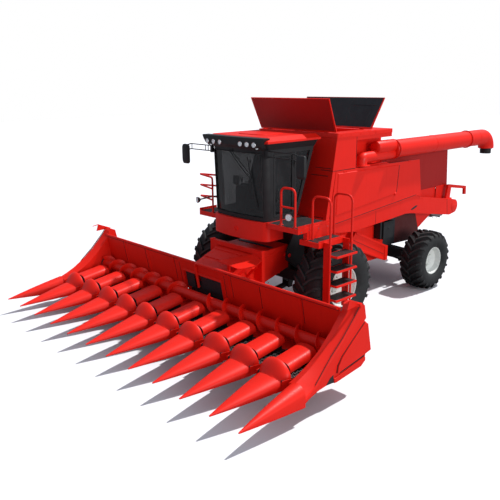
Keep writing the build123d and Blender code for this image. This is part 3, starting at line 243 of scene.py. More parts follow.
def enamel(name, colour, gloss, dust):
    """Glossy paint on sheet metal: faint orange peel, rain streaks, dust low down and on upward faces."""
    shade = Shade(name)
    colour = tuple(colour)
    fine = shade.noise(46.0, 4.0)
    cloud = shade.noise(2.6, 3.0)
    streak = shade.noise(3.0, 4.0, shade.stretched(5.0, 5.0, 0.35))
    low = shade.remap(shade.axis("Z"), 0.2, 2.3, 1.0, 0.12)
    normal = shade.out(shade.node("ShaderNodeNewGeometry"), "Normal")
    facing = shade.out(shade.node("ShaderNodeSeparateXYZ", Vector=normal), "Z")
    settled = shade.remap(facing, 0.55, 1.0, 0.15, 1.0)
    share = shade.remap(fine, 0.38, 0.8) * low * settled * dust
    base = shade.blend(shade.remap(cloud, 0.35, 0.65), tinted(colour, 0.965), colour)
    base = shade.blend(shade.remap(streak, 0.52, 0.78, 0.0, 0.16), base, tinted(colour, 0.80))
    base = shade.blend(share, base, linear(150, 96, 78))
    rough = shade.remap(fine, 0.3, 0.7, gloss - 0.03, gloss + 0.06) + share
    rough = rough + shade.remap(streak, 0.5, 0.8, 0.0, 0.08)
    return shade.finish(Base_Color=base, Roughness=rough, Normal=shade.bump(fine, 0.05, 0.002),
                        Specular_IOR_Level=0.28)


def satin(name, colour, rough=0.55, grain=60.0, metallic=0.0, spread=1.5):
    """Plain plastic, casting or dull paint with a fine grain and rubbed patches."""
    shade = Shade(name)
    fine = shade.noise(grain, 3.0)
    patch = shade.noise(5.0, 4.0)
    base = shade.blend(shade.remap(fine, 0.35, 0.75), colour, tinted(colour, spread, 0.003))
    base = shade.blend(shade.remap(patch, 0.55, 0.8, 0.0, 0.35), base, tinted(colour, 1.3, 0.012))
    worn = shade.remap(patch, 0.3, 0.7, rough - 0.08, rough + 0.1)
    return shade.finish(Base_Color=base, Roughness=worn, Metallic=metallic,
                        Normal=shade.bump(fine, 0.3, 0.002))


def tread_rubber(axle):
    """Tyre rubber with moulded rings on the wall, scuffed lug tops and dust towards the tread."""
    x, _, z, rim = AXLES[axle][:4]
    shade = Shade(axle + "_tyre")
    across = shade.axis("X") - (x + FRONT_AXLE_X)
    above = shade.axis("Z") - z
    radius = (across * across + above * above) ** 0.5
    rings = shade.math("SINE", radius * 190.0)
    near_rim = shade.remap(radius, rim + 0.02, rim + 0.2, 1.0, 0.0)
    shoulder = shade.remap(radius, z * 0.80, z * 0.84) * shade.remap(radius, z * 0.88, z * 0.90, 1.0, 0.0)
    cloud = shade.noise(9.0, 5.0)
    fine = shade.noise(170.0, 3.0)
    dust = shade.remap(cloud, 0.45, 0.8) * shade.remap(radius, rim + 0.1, z, 0.12, 0.5)
    base = shade.blend(dust * 0.22, linear(30, 32, 33), linear(70, 67, 64))
    base = shade.blend(shade.remap(radius, z * 0.985, z, 0.0, 0.3), base, linear(78, 78, 78))
    height = rings * near_rim * 0.5 + fine * 0.3 + shoulder * 0.6
    return shade.finish(Base_Color=base, Roughness=shade.remap(cloud, 0.3, 0.7, 0.68, 0.86),
                        Normal=shade.bump(height, 0.45, 0.004))


def pane(name, colour, alpha, rough=0.05):
    """Tinted pane with faint smears."""
    shade = Shade(name)
    smear = shade.noise(4.0, 4.0, shade.stretched(1.0, 1.0, 0.4))
    base = shade.blend(shade.remap(smear, 0.5, 0.8, 0.0, 0.12), colour, linear(120, 120, 120))
    return shade.finish(Base_Color=base, Roughness=shade.remap(smear, 0.4, 0.8, rough, rough + 0.1),
                        Alpha=alpha, Specular_IOR_Level=0.6)


def steel(name, tint, rough, metallic=0.92):
    """Bright or crop-worn metal, brushed along the machine's width."""
    shade = Shade(name)
    streak = shade.noise(24.0, 4.0, shade.stretched(6.0, 1.0, 6.0))
    worn = shade.remap(streak, 0.3, 0.7, rough - 0.05, rough + 0.12)
    base = shade.blend(streak, tinted(tint, 0.72), tint)
    return shade.finish(Base_Color=base, Roughness=worn, Metallic=metallic,
                        Normal=shade.bump(streak, 0.12, 0.002))


def woven(name, colour):
    """Coarse cloth with a plain weave."""
    shade = Shade(name)
    warp = shade.math("SINE", shade.axis("Y") * 1300.0)
    weft = shade.math("SINE", (shade.axis("X") + shade.axis("Z")) * 1300.0)
    weave = warp * weft
    base = shade.blend(shade.remap(weave, -1.0, 1.0), colour, tinted(colour, 1.9))
    base = shade.blend(shade.remap(shade.noise(12.0), 0.5, 0.8, 0.0, 0.4), base, tinted(colour, 0.7))
    return shade.finish(Base_Color=base, Roughness=0.9, Normal=shade.bump(weave, 0.4, 0.001),
                        Sheen_Weight=0.2)


def glow(name, colour, strength):
    """Reflector behind a lens with a painted glow: its emission keeps it pale whatever the light."""
    shade = Shade(name)
    spots = shade.noise(60.0, 2.0)
    base = shade.blend(spots, tinted(colour, 0.8), colour)
    # Painted light: emission on the reflector of a lamp that is not lit.
    return shade.finish(Base_Color=base, Roughness=0.12, Metallic=0.85, Emission_Color=base,
                        Emission_Strength=strength)


FINISHES = {}


def make_finishes(paint):
    """Every finish of the machine, with the record's slot that it belongs to."""
    made = {
        "red": ("red_paint", enamel("red_enamel", paint.red, paint.gloss, paint.dust)),
        # Painted shade: a darker copy of the body enamel.
        "shade_red": ("dark_red_paint", enamel("inner_red_enamel", paint.painted_shade_red, paint.gloss + 0.08,
                                              paint.dust)),
        # Painted shade: the body red darkened, drawn in thin lines where grooves, folds and seams hold shade.
        "seam": ("dark_red_paint", satin("seam_shadow", linear(78, 10, 9), 0.7, 40.0, 0.0, 1.2)),
        "white": ("rim_white", enamel("rim_enamel", paint.rim_white, paint.gloss + 0.04, paint.dust * 2.0)),
        "black": ("frame_black", satin("chassis_black", linear(28, 28, 30), 0.5)),
        # Black of the real screens, slats and cover faces; the same black is also painted shade in mouths,
        # openings and recesses.
        "liner_and_shade": ("frame_black", satin("liner_black", linear(27, 29, 34), 0.6, 30.0, 0.0, 1.2)),
        "deck": ("deck_black", satin("wear_plate", linear(38, 40, 40), 0.5, 45.0)),
        "trim": ("cab_trim", satin("cab_trim", linear(22, 23, 25), 0.6, 120.0, 0.0, 1.2)),
        "boot": ("boot_rubber", satin("boot_rubber", linear(25, 25, 26), 0.7, 90.0)),
        "front_tyre": ("tyre_rubber", tread_rubber("front")),
        "rear_tyre": ("tyre_rubber", tread_rubber("rear")),
        "glass": ("glass_tint", pane("tinted_glass", linear(26, 28, 30), 0.62)),
        "clear": ("glass_tint", pane("lamp_glass", linear(225, 230, 236), 0.22, 0.03)),
        "tail_red": ("glass_tint", pane("tail_lens", linear(150, 12, 14), 0.9, 0.1)),
        "mirror": ("bright_steel", steel("mirror_face", linear(200, 208, 214), 0.07, 1.0)),
        "bright": ("bright_steel", steel("plated_rod", linear(215, 216, 218), 0.15)),
        "reflector_glow": ("bright_steel", glow("lamp_reflector", linear(206, 210, 214), 0.45)),
        "worn": ("worn_steel", steel("worn_steel", linear(150, 148, 146), 0.42)),
        "zinc": ("worn_steel", steel("zinc_bolt", linear(168, 166, 158), 0.35)),
        "cloth": ("seat_fabric", woven("seat_cloth", linear(46, 48, 52))),
    }
    FINISHES.clear()
    FINISHES.update(made)


NODE_FINISH = {
    "black": ["main_frame", "front_axle", "rear_axle", "engine_block", "spreader_carrier", "lift_barrels",
              "knuckle_left", "knuckle_right", "tie_rod"],
    # The rear hood takes the darker red of painted shade.
    "shade_red": ["rear_hood"],
    "deck": ["row_decks"],
    "trim": ["battery_box", "cab_shell", "cab_fascia", "cab_controls", "door_frame"],
    "reflector_glow": ["lamps"],
    "boot": ["unload_spout"],
    "glass": ["cab_windows", "door_glass"],
    "bright": ["lift_rods"],
    "worn": ["spreader_left", "spreader_right"],
    "white": ["rim_front_left", "rim_front_right", "rim_rear_left", "rim_rear_right"],
}


def paint_nodes():
    """Gives each CAD node its finish; what the table doesn't name is red."""
    named = {node: key for key, nodes in NODE_FINISH.items() for node in nodes}
    for name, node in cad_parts.items():
        node.data.materials.clear()
        node.data.materials.append(FINISHES[named.get(name, "red")][1])


def dress(piece, finish, body, bevel=0.0, smooth=35.0):
    """Shades a finished mesh object, gives it the finish's material and lets it ride on a body."""
    slot, material = FINISHES[finish]
    if not piece.data.materials:
        piece.data.materials.append(material)
    piece.data.shade_smooth()
    piece.data.set_sharp_from_angle(angle=radians(smooth))
    if bevel:
        rounding = piece.modifiers.new("edges", "BEVEL")
        rounding.width = bevel
        rounding.segments = 2
        rounding.limit_method = "ANGLE"
        rounding.harden_normals = True
    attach(piece, body)
    return piece


def rounded(points, bend):
    """The points with each inner corner turned into a short curve."""
    path = [Vector(point) for point in points]
    smooth = [path[0]]
    for before, corner, after in zip(path, path[1:], path[2:]):
        reach = min(bend, (before - corner).length * 0.48, (after - corner).length * 0.48)
        start = corner + (before - corner).normalized() * reach
        stop = corner + (after - corner).normalized() * reach
        for step in range(6):
            share = step / 5
            smooth.append(start.lerp(corner, share).lerp(corner.lerp(stop, share), share))
    return smooth + [path[-1]]


def circle(centre, axis, radius, sides):
    """Points of a ring about an axis."""
    axis = Vector(axis).normalized()
    first = axis.orthogonal().normalized()
    second = axis.cross(first)
    turns = [tau * index / sides for index in range(sides)]
    return [Vector(centre) + first * radius * cos(turn) + second * radius * sin(turn) for turn in turns]


def superellipse(half_length, half_width, sides=36, power=0.42):
    """Outline of a rounded oblong."""
    outline = []
    for index in range(sides):
        c, s = cos(tau * index / sides), sin(tau * index / sides)
        outline.append((half_length * abs(c) ** power * (1 if c >= 0 else -1),
                        half_width * abs(s) ** power * (1 if s >= 0 else -1)))
    return outline


class Forge:
    """Small solids of one piece, given in metres from the front axle."""

    def __init__(self):
        self.mesh = bmesh.new()

    def skin(self, rings, loop=False):
        """Closed surface over rings of points, capped unless it runs in a loop."""
        rows = [[self.mesh.verts.new(at(*point)) for point in ring] for ring in rings]
        count = len(rows[0])
        pairs = list(zip(rows, rows[1:])) + ([(rows[-1], rows[0])] if loop else [])
        for first, second in pairs:
            for index in range(count):
                following = (index + 1) % count
                self.mesh.faces.new((first[index], first[following], second[following], second[index]))
        if not loop:
            self.mesh.faces.new(rows[0][::-1])
            self.mesh.faces.new(rows[-1])

    def slab(self, outline, bounds, axis):
        """Prism of an outline across an axis: (y, z) points for X, (x, z) for Y, (x, y) for Z."""
        order = {"X": (2, 0, 1), "Y": (0, 2, 1), "Z": (0, 1, 2)}[axis]
        self.skin([[[(a, b, c)[index] for index in order] for a, b in outline] for c in bounds])

    def box(self, x, y, z):
        self.slab([(x[0], y[0]), (x[1], y[0]), (x[1], y[1]), (x[0], y[1])], z, "Z")

    def bar(self, start, end, width, height, up=UP):
        """Flat bar from one point to another; its height lies nearest to the up direction."""
        start, end = Vector(start), Vector(end)
        along = (end - start).normalized()
        across = along.cross(Vector(up)).normalized() * width / 2
        rise = across.cross(along).normalized() * height / 2
        self.skin([[centre - across - rise, centre + across - rise, centre + across + rise,
                    centre - across + rise]
                   for centre in (start, end)])

    def tube(self, points, radius, bend=0.0, sides=12, loop=False):
        """Round bar along points, with its corners bent."""
        path = rounded(points, bend) if bend else [Vector(point) for point in points]
        count = len(path)
        rings = []
        first = None
        for index, centre in enumerate(path):
            before = path[(index - 1) % count] if loop or index else centre
            after = path[(index + 1) % count] if loop or index < count - 1 else centre
            along = (after - before).normalized()
            first = along.orthogonal() if first is None else first - along * first.dot(along)
            first.normalize()
            second = along.cross(first)
            turns = [tau * side / sides for side in range(sides)]
            rings.append([centre + (first * cos(turn) + second * sin(turn)) * radius for turn in turns])
        self.skin(rings, loop)

    def turned(self, centre, axis, profile, sides=32, loop=False):
        """Turned solid from (distance along the axis, radius) pairs."""
        axis = Vector(axis).normalized()
        self.skin([circle(Vector(centre) + axis * shift, axis, radius, sides) for shift, radius in profile],
                  loop)

    def cushion(self, origin, length_way, width_way, up_way, half_length, half_width, height, crown):
        """Stuffed pad with a welt below its crowned top."""
        ways = [Vector(way).normalized() for way in (length_way, width_way, up_way)]
        profile = [(0.86, 0.0), (0.97, 0.08), (1.0, 0.3), (1.0, 0.62), (0.985, 0.74), (0.955, 0.77),
                   (0.93, 0.86), (0.84, 0.97), (0.66, 1.06), (0.42, 1.12), (0.15, 1.15)]
        rings = []
        for scale, share in profile:
            lift = height * min(share, 1.0) + crown * max(0.0, share - 0.97) / 0.18
            rings.append([Vector(origin) + ways[0] * u * scale + ways[1] * v * scale + ways[2] * lift
                          for u, v in superellipse(half_length, half_width)])
        self.skin(rings)

    def done(self, name, finish, body, bevel=0.0, smooth=35.0):
        """Mesh object of the piece."""
        bmesh.ops.recalc_face_normals(self.mesh, faces=self.mesh.faces)
        data = bpy.data.meshes.new(name)
        self.mesh.to_mesh(data)
        self.mesh.free()
        piece = bpy.data.objects.new(name, data)
        bpy.context.collection.objects.link(piece)
        return dress(piece, finish, body, bevel, smooth)


def arch(x, y, half, low, spring, top, steps=18):
    """Section with upright sides and one arc over the top."""
    rise = top - spring
    radius = (half * half + rise * rise) / (2 * rise)
    spread = asin(min(1.0, half / radius)) if rise < half else pi - asin(half / radius)
    angles = [spread * (1 - 2 * k / steps) for k in range(steps + 1)]
    over = [(x, y + radius * sin(angle), top - radius + radius * cos(angle)) for angle in angles]
    return over + [(x, y - half, low), (x, y + half, low)]


def hood_ring(x, y, top, scale, half=0.232, corner=0.125):
    """Section of a moulded row hood: a faintly crowned top with round shoulders."""
    turns = [radians(degrees) for degrees in range(0, 91, 15)]
    right = [(half - corner + corner * cos(turn), corner * sin(turn) - corner) for turn in turns]
    over = right + [(0.06, 0.008), (0.0, 0.010), (-0.06, 0.008)] + [(-u, v) for u, v in reversed(right)]
    outline = over + [(-half, -0.15), (half, -0.15)]
    return [(x, y + u * scale, top + (v + 0.075) * scale - 0.075) for u, v in outline]


class Growth(Graph):
    """A Geometry Nodes tree with named inputs, run on points with a facing direction."""

    def __init__(self, name, **kinds):
        super().__init__(bpy.data.node_groups.new(name, "GeometryNodeTree"))
        face = self.tree.interface
        face.new_socket("Geometry", in_out="INPUT", socket_type="NodeSocketGeometry")
        face.new_socket("Geometry", in_out="OUTPUT", socket_type="NodeSocketGeometry")
        kinds["Material"] = "Material"
        self.keys = {key: face.new_socket(key, in_out="INPUT", socket_type="NodeSocket" + kind).identifier
                     for key, kind in kinds.items()}
        self.given = self.node("NodeGroupInput")

    def value(self, name):
        return self.out(self.given, name)

    def spread(self, points, shape, rotation=None):
        """Copies of a shape on points."""
        turn = {"Rotation": rotation} if rotation else {}
        return self.out(self.node("GeometryNodeInstanceOnPoints", Points=points, Instance=shape, **turn))

    def facing(self, axis="Z"):
        """Rotation that turns an axis to each point's facing direction."""
        stored = self.node("GeometryNodeInputNamedAttribute", {"data_type": "FLOAT_VECTOR"}, Name="facing")
        return self.out(self.node("FunctionNodeAlignRotationToVector", {"axis": axis},
                                  Vector=self.out(stored)))

    def end(self, geometry):
        real = self.node("GeometryNodeRealizeInstances", Geometry=geometry)
        painted = self.node("GeometryNodeSetMaterial", Geometry=self.out(real),
                            Material=self.value("Material"))
        self.node("NodeGroupOutput", Geometry=self.out(painted))

    def grow(self, name, points, finish, body, **values):
        """Mesh object that the tree makes on (place, facing) pairs."""
        data = bpy.data.meshes.new(name)
        data.from_pydata([at(*place) for place, _ in points], [], [])
        stored = data.attributes.new("facing", "FLOAT_VECTOR", "POINT")
        stored.data.foreach_set("vector", [float(value) for _, way in points for value in way])
        piece = bpy.data.objects.new(name, data)
        bpy.context.collection.objects.link(piece)
        growth = piece.modifiers.new("growth", "NODES")
        growth.node_group = self.tree
        for key, value in {**values, "Material": FINISHES[finish][1]}.items():
            growth[self.keys[key]] = value
        bpy.context.view_layer.update()
        grown = bpy.data.meshes.new_from_object(piece.evaluated_get(bpy.context.evaluated_depsgraph_get()))
        piece.modifiers.clear()
        piece.data = grown
        grown.name = name
        if not grown.polygons:
            raise RuntimeError(name + " grew no faces")
        return dress(piece, finish, body)


def bolt_tree():
    """Hexagon heads on washers."""
    tree = Growth("bolt_heads", Radius="Float", Height="Float")
    tall = tree.value("Height") * 2.0
    head = tree.node("GeometryNodeMeshCylinder", Vertices=6, Radius=tree.value("Radius"), Depth=tall)
    washer = tree.node("GeometryNodeMeshCylinder", Vertices=14, Radius=tree.value("Radius") * 1.5,
                       Depth=tall * 0.3)
    both = tree.node("GeometryNodeJoinGeometry", Geometry=[tree.out(head), tree.out(washer)])
    tree.end(tree.spread(tree.value("Geometry"), tree.out(both), tree.facing()))
    return tree


def bar_tree():
    """Rows of like bars, counted on from each point."""
    tree = Growth("bar_rows", Step="Vector", Count="Int", Size="Vector")
    line = tree.node("GeometryNodeMeshLine", {"mode": "OFFSET"}, Count=tree.value("Count"),
                     Offset=tree.value("Step"))
    bar = tree.node("GeometryNodeMeshCube", Size=tree.value("Size"))
    row = tree.spread(tree.out(line), tree.out(bar))
    tree.end(tree.spread(tree.value("Geometry"), row))
    return tree


def chain_tree():
    """Flat gathering chains: plates in an oblong loop with a lug on each."""
    tree = Growth("gathering_chains", Length="Float", Width="Float", Pitch="Float", Lug="Vector",
                  Plate="Vector")
    track = tree.node("GeometryNodeCurvePrimitiveQuadrilateral", {"mode": "RECTANGLE"},
                      Width=tree.value("Length"), Height=tree.value("Width"))
    bent = tree.node("GeometryNodeFilletCurve", {"mode": "POLY"}, Curve=tree.out(track), Count=4,
                     Radius=tree.value("Width") * 0.49)
    tangent = tree.out(tree.node("GeometryNodeInputTangent"))
    turn = tree.out(tree.node("FunctionNodeAlignRotationToVector", {"axis": "X"}, Vector=tangent))
    parts = []
    for share, size in ((1.0, "Lug"), (0.5, "Plate")):
        places = tree.node("GeometryNodeResampleCurve", {"mode": "LENGTH"}, Curve=tree.out(bent),
                           Length=tree.value("Pitch") * share)
        shape = tree.node("GeometryNodeMeshCube", Size=tree.value(size))
        parts.append(tree.spread(tree.out(places), tree.out(shape), turn))
    loop = tree.node("GeometryNodeJoinGeometry", Geometry=parts)
    tree.end(tree.spread(tree.value("Geometry"), tree.out(loop)))
    return tree


TREES = {}


def tree_of(maker):
    """The tree that a maker builds, made once."""
    if maker.__name__ not in TREES:
        TREES[maker.__name__] = maker()
    return TREES[maker.__name__]


def bolts(name, points, finish, body, radius):
    """Bolt heads at (place, facing) pairs."""
    return tree_of(bolt_tree).grow(name, points, finish, body, Radius=radius, Height=radius * 0.9)


def along(start, end, count):
    """Evenly spaced points from start to end."""
    start, end = Vector(start), Vector(end)
    return [start.lerp(end, index / (count - 1)) for index in range(count)]


def front_wall_x(z):
    """Forward place of the body's front wall at a height."""
    return -0.503 + (3.37 - z) * 0.189 if z < 3.37 else -0.503 - (z - 3.37) * 0.179


def snout_ring(x, y, half, low, spring, top, rise=0.0, reach=0.0, steps=28):
    """Section of a snout: an arched nose, with the collar's dome standing over it towards the rear."""
    ring = []
    for step in range(steps + 1):
        u = cos(pi * step / steps)
        z = spring + (top - spring) * (1 - abs(u) ** 2.4) ** 0.42
        if abs(u) * half < reach:
            z = max(z, COLLAR_SPRING + (rise - COLLAR_SPRING) * (1 - (u * half / reach) ** 2) ** 0.5)
        ring.append((x, y + half * u, z))
    return ring + [(x, y - half, low), (x, y + half, low)]


def row_snout(y):
    """Rings of one inner snout from its tip to the collar's rim."""
    nose = [SNOUT_TIP - 0.1 * step for step in range(12)]
    collar = [3.68 - 0.0105 * step for step in range(21)]
    rings = []
    for x in nose + [3.75, 3.72, 3.70] + collar:
        share = (SNOUT_TIP - x) / (SNOUT_TIP - SNOUT_CREASE)
        cone, back = min(share, 1.0), max(0.0, share - 1.0) / 0.122
        swell = sin(pi * cone)
        half = 0.012 + 0.288 * cone + 0.010 * swell + 0.035 * back
        top = 0.377 + 0.273 * cone + 0.0085 * swell + 0.005 * back
        low = 0.359 + 0.071 * cone + 0.07 * back
        grown = max(0.0, (3.71 - x) / 0.24)
        rise = 0.63 + 0.24 * sin(pi / 2 * min(grown, 1.0)) ** 1.1
        reach = 0.336 * max(0.0, 1 - (1 - grown) ** 2) ** 0.5 if grown else 0.0
        rings.append(snout_ring(x, y, half, low, top - 0.65 * half, top, rise, reach))
    return rings


def end_snout(side):
    """Rings of an end snout, whose outer face runs on into the end shield."""
    rings = []
    for x in [SNOUT_TIP - 0.1 * step for step in range(13)] + [3.70, 3.66, END_SNOUT_FOOT]:
        share = (SNOUT_TIP - x) / (SNOUT_TIP - END_SNOUT_FOOT)
        swell = sin(pi * share)
        half = 0.012 + 0.172 * share + 0.012 * swell
        top = 0.377 + 0.288 * share + 0.012 * swell
        low = 0.359 - 0.055 * share
        rings.append(arch(x, side * (4.103 - 0.087 * share), half, low, top - (0.6 + 0.3 * share) * half,
                          top))
    return rings


def tyre_carcass(radius, width, rim, height):
    """Closed section of a tyre's carcass below its lugs: (distance across, radius) pairs."""
    half, tread = width / 2, radius - height
    depth = tread - rim
    wall = [(0.80, rim), (0.93, rim + 0.05), (0.985, rim + 0.28 * depth), (1.0, rim + 0.48 * depth),
            (0.985, rim + 0.68 * depth), (0.93, tread - 0.075), (0.82, tread - 0.032), (0.5, tread - 0.010)]
    return [(-a * half, r) for a, r in wall] + [(0.0, tread)] + [(a * half, r) for a, r in reversed(wall)]


def lug_rings(x, y, radius, width, start, turn, lug_width, height):
    """Sections of one lug, which leans back from the middle and runs down the shoulder."""
    tread = radius - height
    rings = []
    for step in range(9):
        share = step / 8
        across = turn * width / 2 * (-0.03 + 1.01 * share)
        angle = start - 0.30 * (1 - (1 - share) ** 1.5) * (AXLES["rear"][2] / radius) ** 0.5
        crown = radius - 0.016 * share ** 2 - 0.075 * max(0.0, share - 0.75) / 0.25
        foot = min(crown - 0.03, tread - 0.03 - 0.11 * max(0.0, share - 0.7) / 0.3)
        wide = lug_width * (0.85 + 0.30 * share) / 2
        corners = [(foot, -wide * 1.25), (crown, -wide * 0.8), (crown, wide * 0.8), (foot, wide * 1.25)]
        rings.append([(x + r * sin(angle + off / r), y + across, radius + r * cos(angle + off / r))
                      for r, off in corners])
    return rings


def make_tyre(axle, body, x, y, radius, width, rim, lugs, lug_width, height=0.052):
    """Rounded carcass with long curved lugs that meet in a chevron."""
    rubber = Forge()
    rubber.turned((x, y, radius), LEFT, tyre_carcass(radius, width, rim, height), 72, True)
    for index in range(lugs):
        for turn in (1, -1):
            start = tau * (index + 0.25 * turn) / lugs
            rubber.skin(lug_rings(x, y, radius, width, start, turn, lug_width, height))
    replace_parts(rubber.done(body + "_tread", axle + "_tyre", body, 0.0, 40.0), body.replace("wheel", "tyre"))


class HARVESTER_OT_paint(bpy.types.Operator):
    """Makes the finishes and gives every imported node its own"""
    bl_idname = "harvester.paint"
    bl_label = "Paint"

    def execute(self, context):
        make_finishes(context.scene.harvester_paint)
        paint_nodes()
        return {"FINISHED"}


class HARVESTER_OT_wheels(bpy.types.Operator):
    """Builds the tyres and adds hub caps, bolts, rim lips and valves"""
    bl_idname = "harvester.wheels"
    bl_label = "Wheels"

    def execute(self, context):
        sizes = context.scene.harvester_sizes
        wheels = [(axle, word, side) for axle in AXLES for word, side in SIDES.items()]
        for axle, word, side in wheels:
            x, spread, z, rim, edge, disc, width, lugs, lug_width = AXLES[axle]
            body, y, out = f"wheel_{axle}_{word}", side * spread, (0, side, 0)
            make_tyre(axle, body, x, y, z, width, rim, lugs, lug_width)
            face = y + side * disc
            hub = Forge()
            hub.turned((x, face, z), out, [(-0.004, 0.132), (0.012, 0.132), (0.022, 0.118), (0.050, 0.112),
                                           (0.068, 0.098), (0.075, 0.070)])
            hub.turned((x, y + side * (edge - 0.006), z), out,
                       [(0.0, rim + 0.001), (0.012, rim + 0.001), (0.012, rim - 0.016), (0.0, rim - 0.016)],
                       64, True)
            hub.done(body + "_hub", "white", body, 0.002)
            cap = Forge()
            cap.turned((x, face + side * 0.074, z), out,
                       [(0.0, 0.055), (0.010, 0.055), (0.016, 0.046), (0.018, 0.02)])
            cap.tube([(x + rim * share, face + side * lift, z)
                      for share, lift in ((0.78, 0.01), (0.80, 0.05), (0.86, 0.085))], 0.006, 0.02, 8)
            cap.done(body + "_cap", "white", body)
            for name, radius, head in (("_nuts", 0.165, 1.0), ("_rim_bolts", rim - 0.09, 0.8)):
                ring = [((point.x, face + side * 0.001, point.z), out)
                        for point in circle((x, 0, z), LEFT, radius, sizes.wheel_bolts)]
                bolts(body + name, ring, "white", body, sizes.wheel_bolt * head)
        return {"FINISHED"}


class HARVESTER_OT_walkways(bpy.types.Operator):
    """Builds the decks and rails, with ribbed wear plates, edges, feet and bolts"""
    bl_idname = "harvester.walkways"
    bl_label = "Decks and rails"

    def execute(self, context):
        sizes = context.scene.harvester_sizes
        cab_deck, ladder_deck, right_deck = 2.400, 2.130, 2.300
        plates = [((0.17, 1.16), (0.90, 1.75), [cab_deck]), ((0.12, 0.93), (1.785, 2.11), [ladder_deck]),
                  ((0.47, 0.97), (-1.65, -0.90), [right_deck]),
                  ((0.17, 0.78), (2.19, 2.475), [1.890, 1.579, 1.268, 0.957])]
        wear = Forge()
        for x, y, levels in plates:
            for z in levels:
                wear.box(x, y, (z - 0.001, z + 0.004))
        wear.done("walkway_plates", "deck", "chassis", 0.0015)
        for index, (x, y, levels) in enumerate(plates):
            starts = [((x[0] + 0.02, (y[0] + y[1]) / 2, z + 0.004), UP) for z in levels]
            tree_of(bar_tree).grow(f"walkway_ribs_{index}", starts, "deck", "chassis",
                                   Step=(sizes.rib_pitch, 0.0, 0.0),
                                   Count=int((x[1] - x[0] - 0.04) / sizes.rib_pitch) + 1,
                                   Size=(0.014, y[1] - y[0] - 0.04, 0.006))
        edges = Forge()
        edges.bar((0.15, 1.762, cab_deck + 0.03), (1.18, 1.762, cab_deck + 0.03), 0.008, 0.06)
        edges.bar((0.10, 2.124, ladder_deck + 0.02), (0.95, 2.124, ladder_deck + 0.02), 0.008, 0.04)
        edges.bar((0.45, -1.664, right_deck + 0.03), (0.99, -1.664, right_deck + 0.03), 0.008, 0.06)
        decks = Forge()
        decks.box((0.15, 1.18), (0.8803, 1.77), (2.29, cab_deck))
        decks.box((0.10, 0.95), (1.60, 2.13), (2.02, ladder_deck))
        decks.box((0.15, 0.90), (1.66, 1.77), (2.129, 2.291))
        decks.box((0.45, 0.99), (-1.67, -0.8803), (2.19, right_deck))
        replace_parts(decks.done("deck_frames", "red", "chassis", 0.003), "platforms")
        rails = Forge()
        for x, top in ((0.8205, 3.06), (0.1295, 3.04)):
            rails.tube([(x, 1.84, 2.1303), (x, 1.84, top), (x, 2.32, top), (x, 2.32, 0.64)], 0.0235, 0.16)
        rails.tube([(1.11, 1.22, 2.4003), (1.11, 1.22, 3.20), (1.11, 1.62, 3.20), (1.11, 1.62, 2.4003)],
                   0.0245, 0.13)
        rails.tube([(1.11, 1.22, 2.80), (1.11, 1.62, 2.80)], 0.020)
        front, point, back = (0.95, -1.20), (0.80, -1.86), (0.61, -1.20)
        rails.tube([(*front, 2.3003), (*front, 3.14), (*point, 3.15), (*back, 3.15), (*back, 2.3003)], 0.0235,
                   0.07)
        for z in (2.60, 2.87):
            rails.tube([(*front, z), (*point, z + 0.02), (*back, z + 0.02)], 0.0215, 0.07)
        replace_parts(rails.done("rail_tubes", "red", "chassis"), "handrails")
        feet = [(1.11, 1.22, cab_deck), (1.11, 1.62, cab_deck), (*back, right_deck), (*front, right_deck)]
        for x, y, z in feet:
            edges.box((x - 0.045, x + 0.045), (y - 0.045, y + 0.045), (z + 0.003, z + 0.014))
            edges.turned((x, y, z + 0.012), UP, [(0.0, 0.030), (0.022, 0.030), (0.028, 0.023)], 20)
        for x in (0.13, 0.82):
            for y in (1.84, 2.32):
                edges.box((x - 0.032, x + 0.032), (y - 0.026, y + 0.026), (2.045, 2.085))
        edges.done("walkway_edges", "red", "chassis", 0.002)
        heads = [((x + a, y + b, z + 0.014), UP) for x, y, z in feet for a in (-0.034, 0.034)
                 for b in (-0.034, 0.034)]
        heads += [((x, 2.291, z), LEFT) for x in (0.165, 0.785) for z in (1.84, 1.53, 1.22, 0.91)]
        heads += [((x, 1.7705, 2.33), LEFT) for x in (0.25, 0.55, 0.85, 1.08)]
        bolts("walkway_bolts", heads, "zinc", "chassis", sizes.small_bolt)
        return {"FINISHED"}


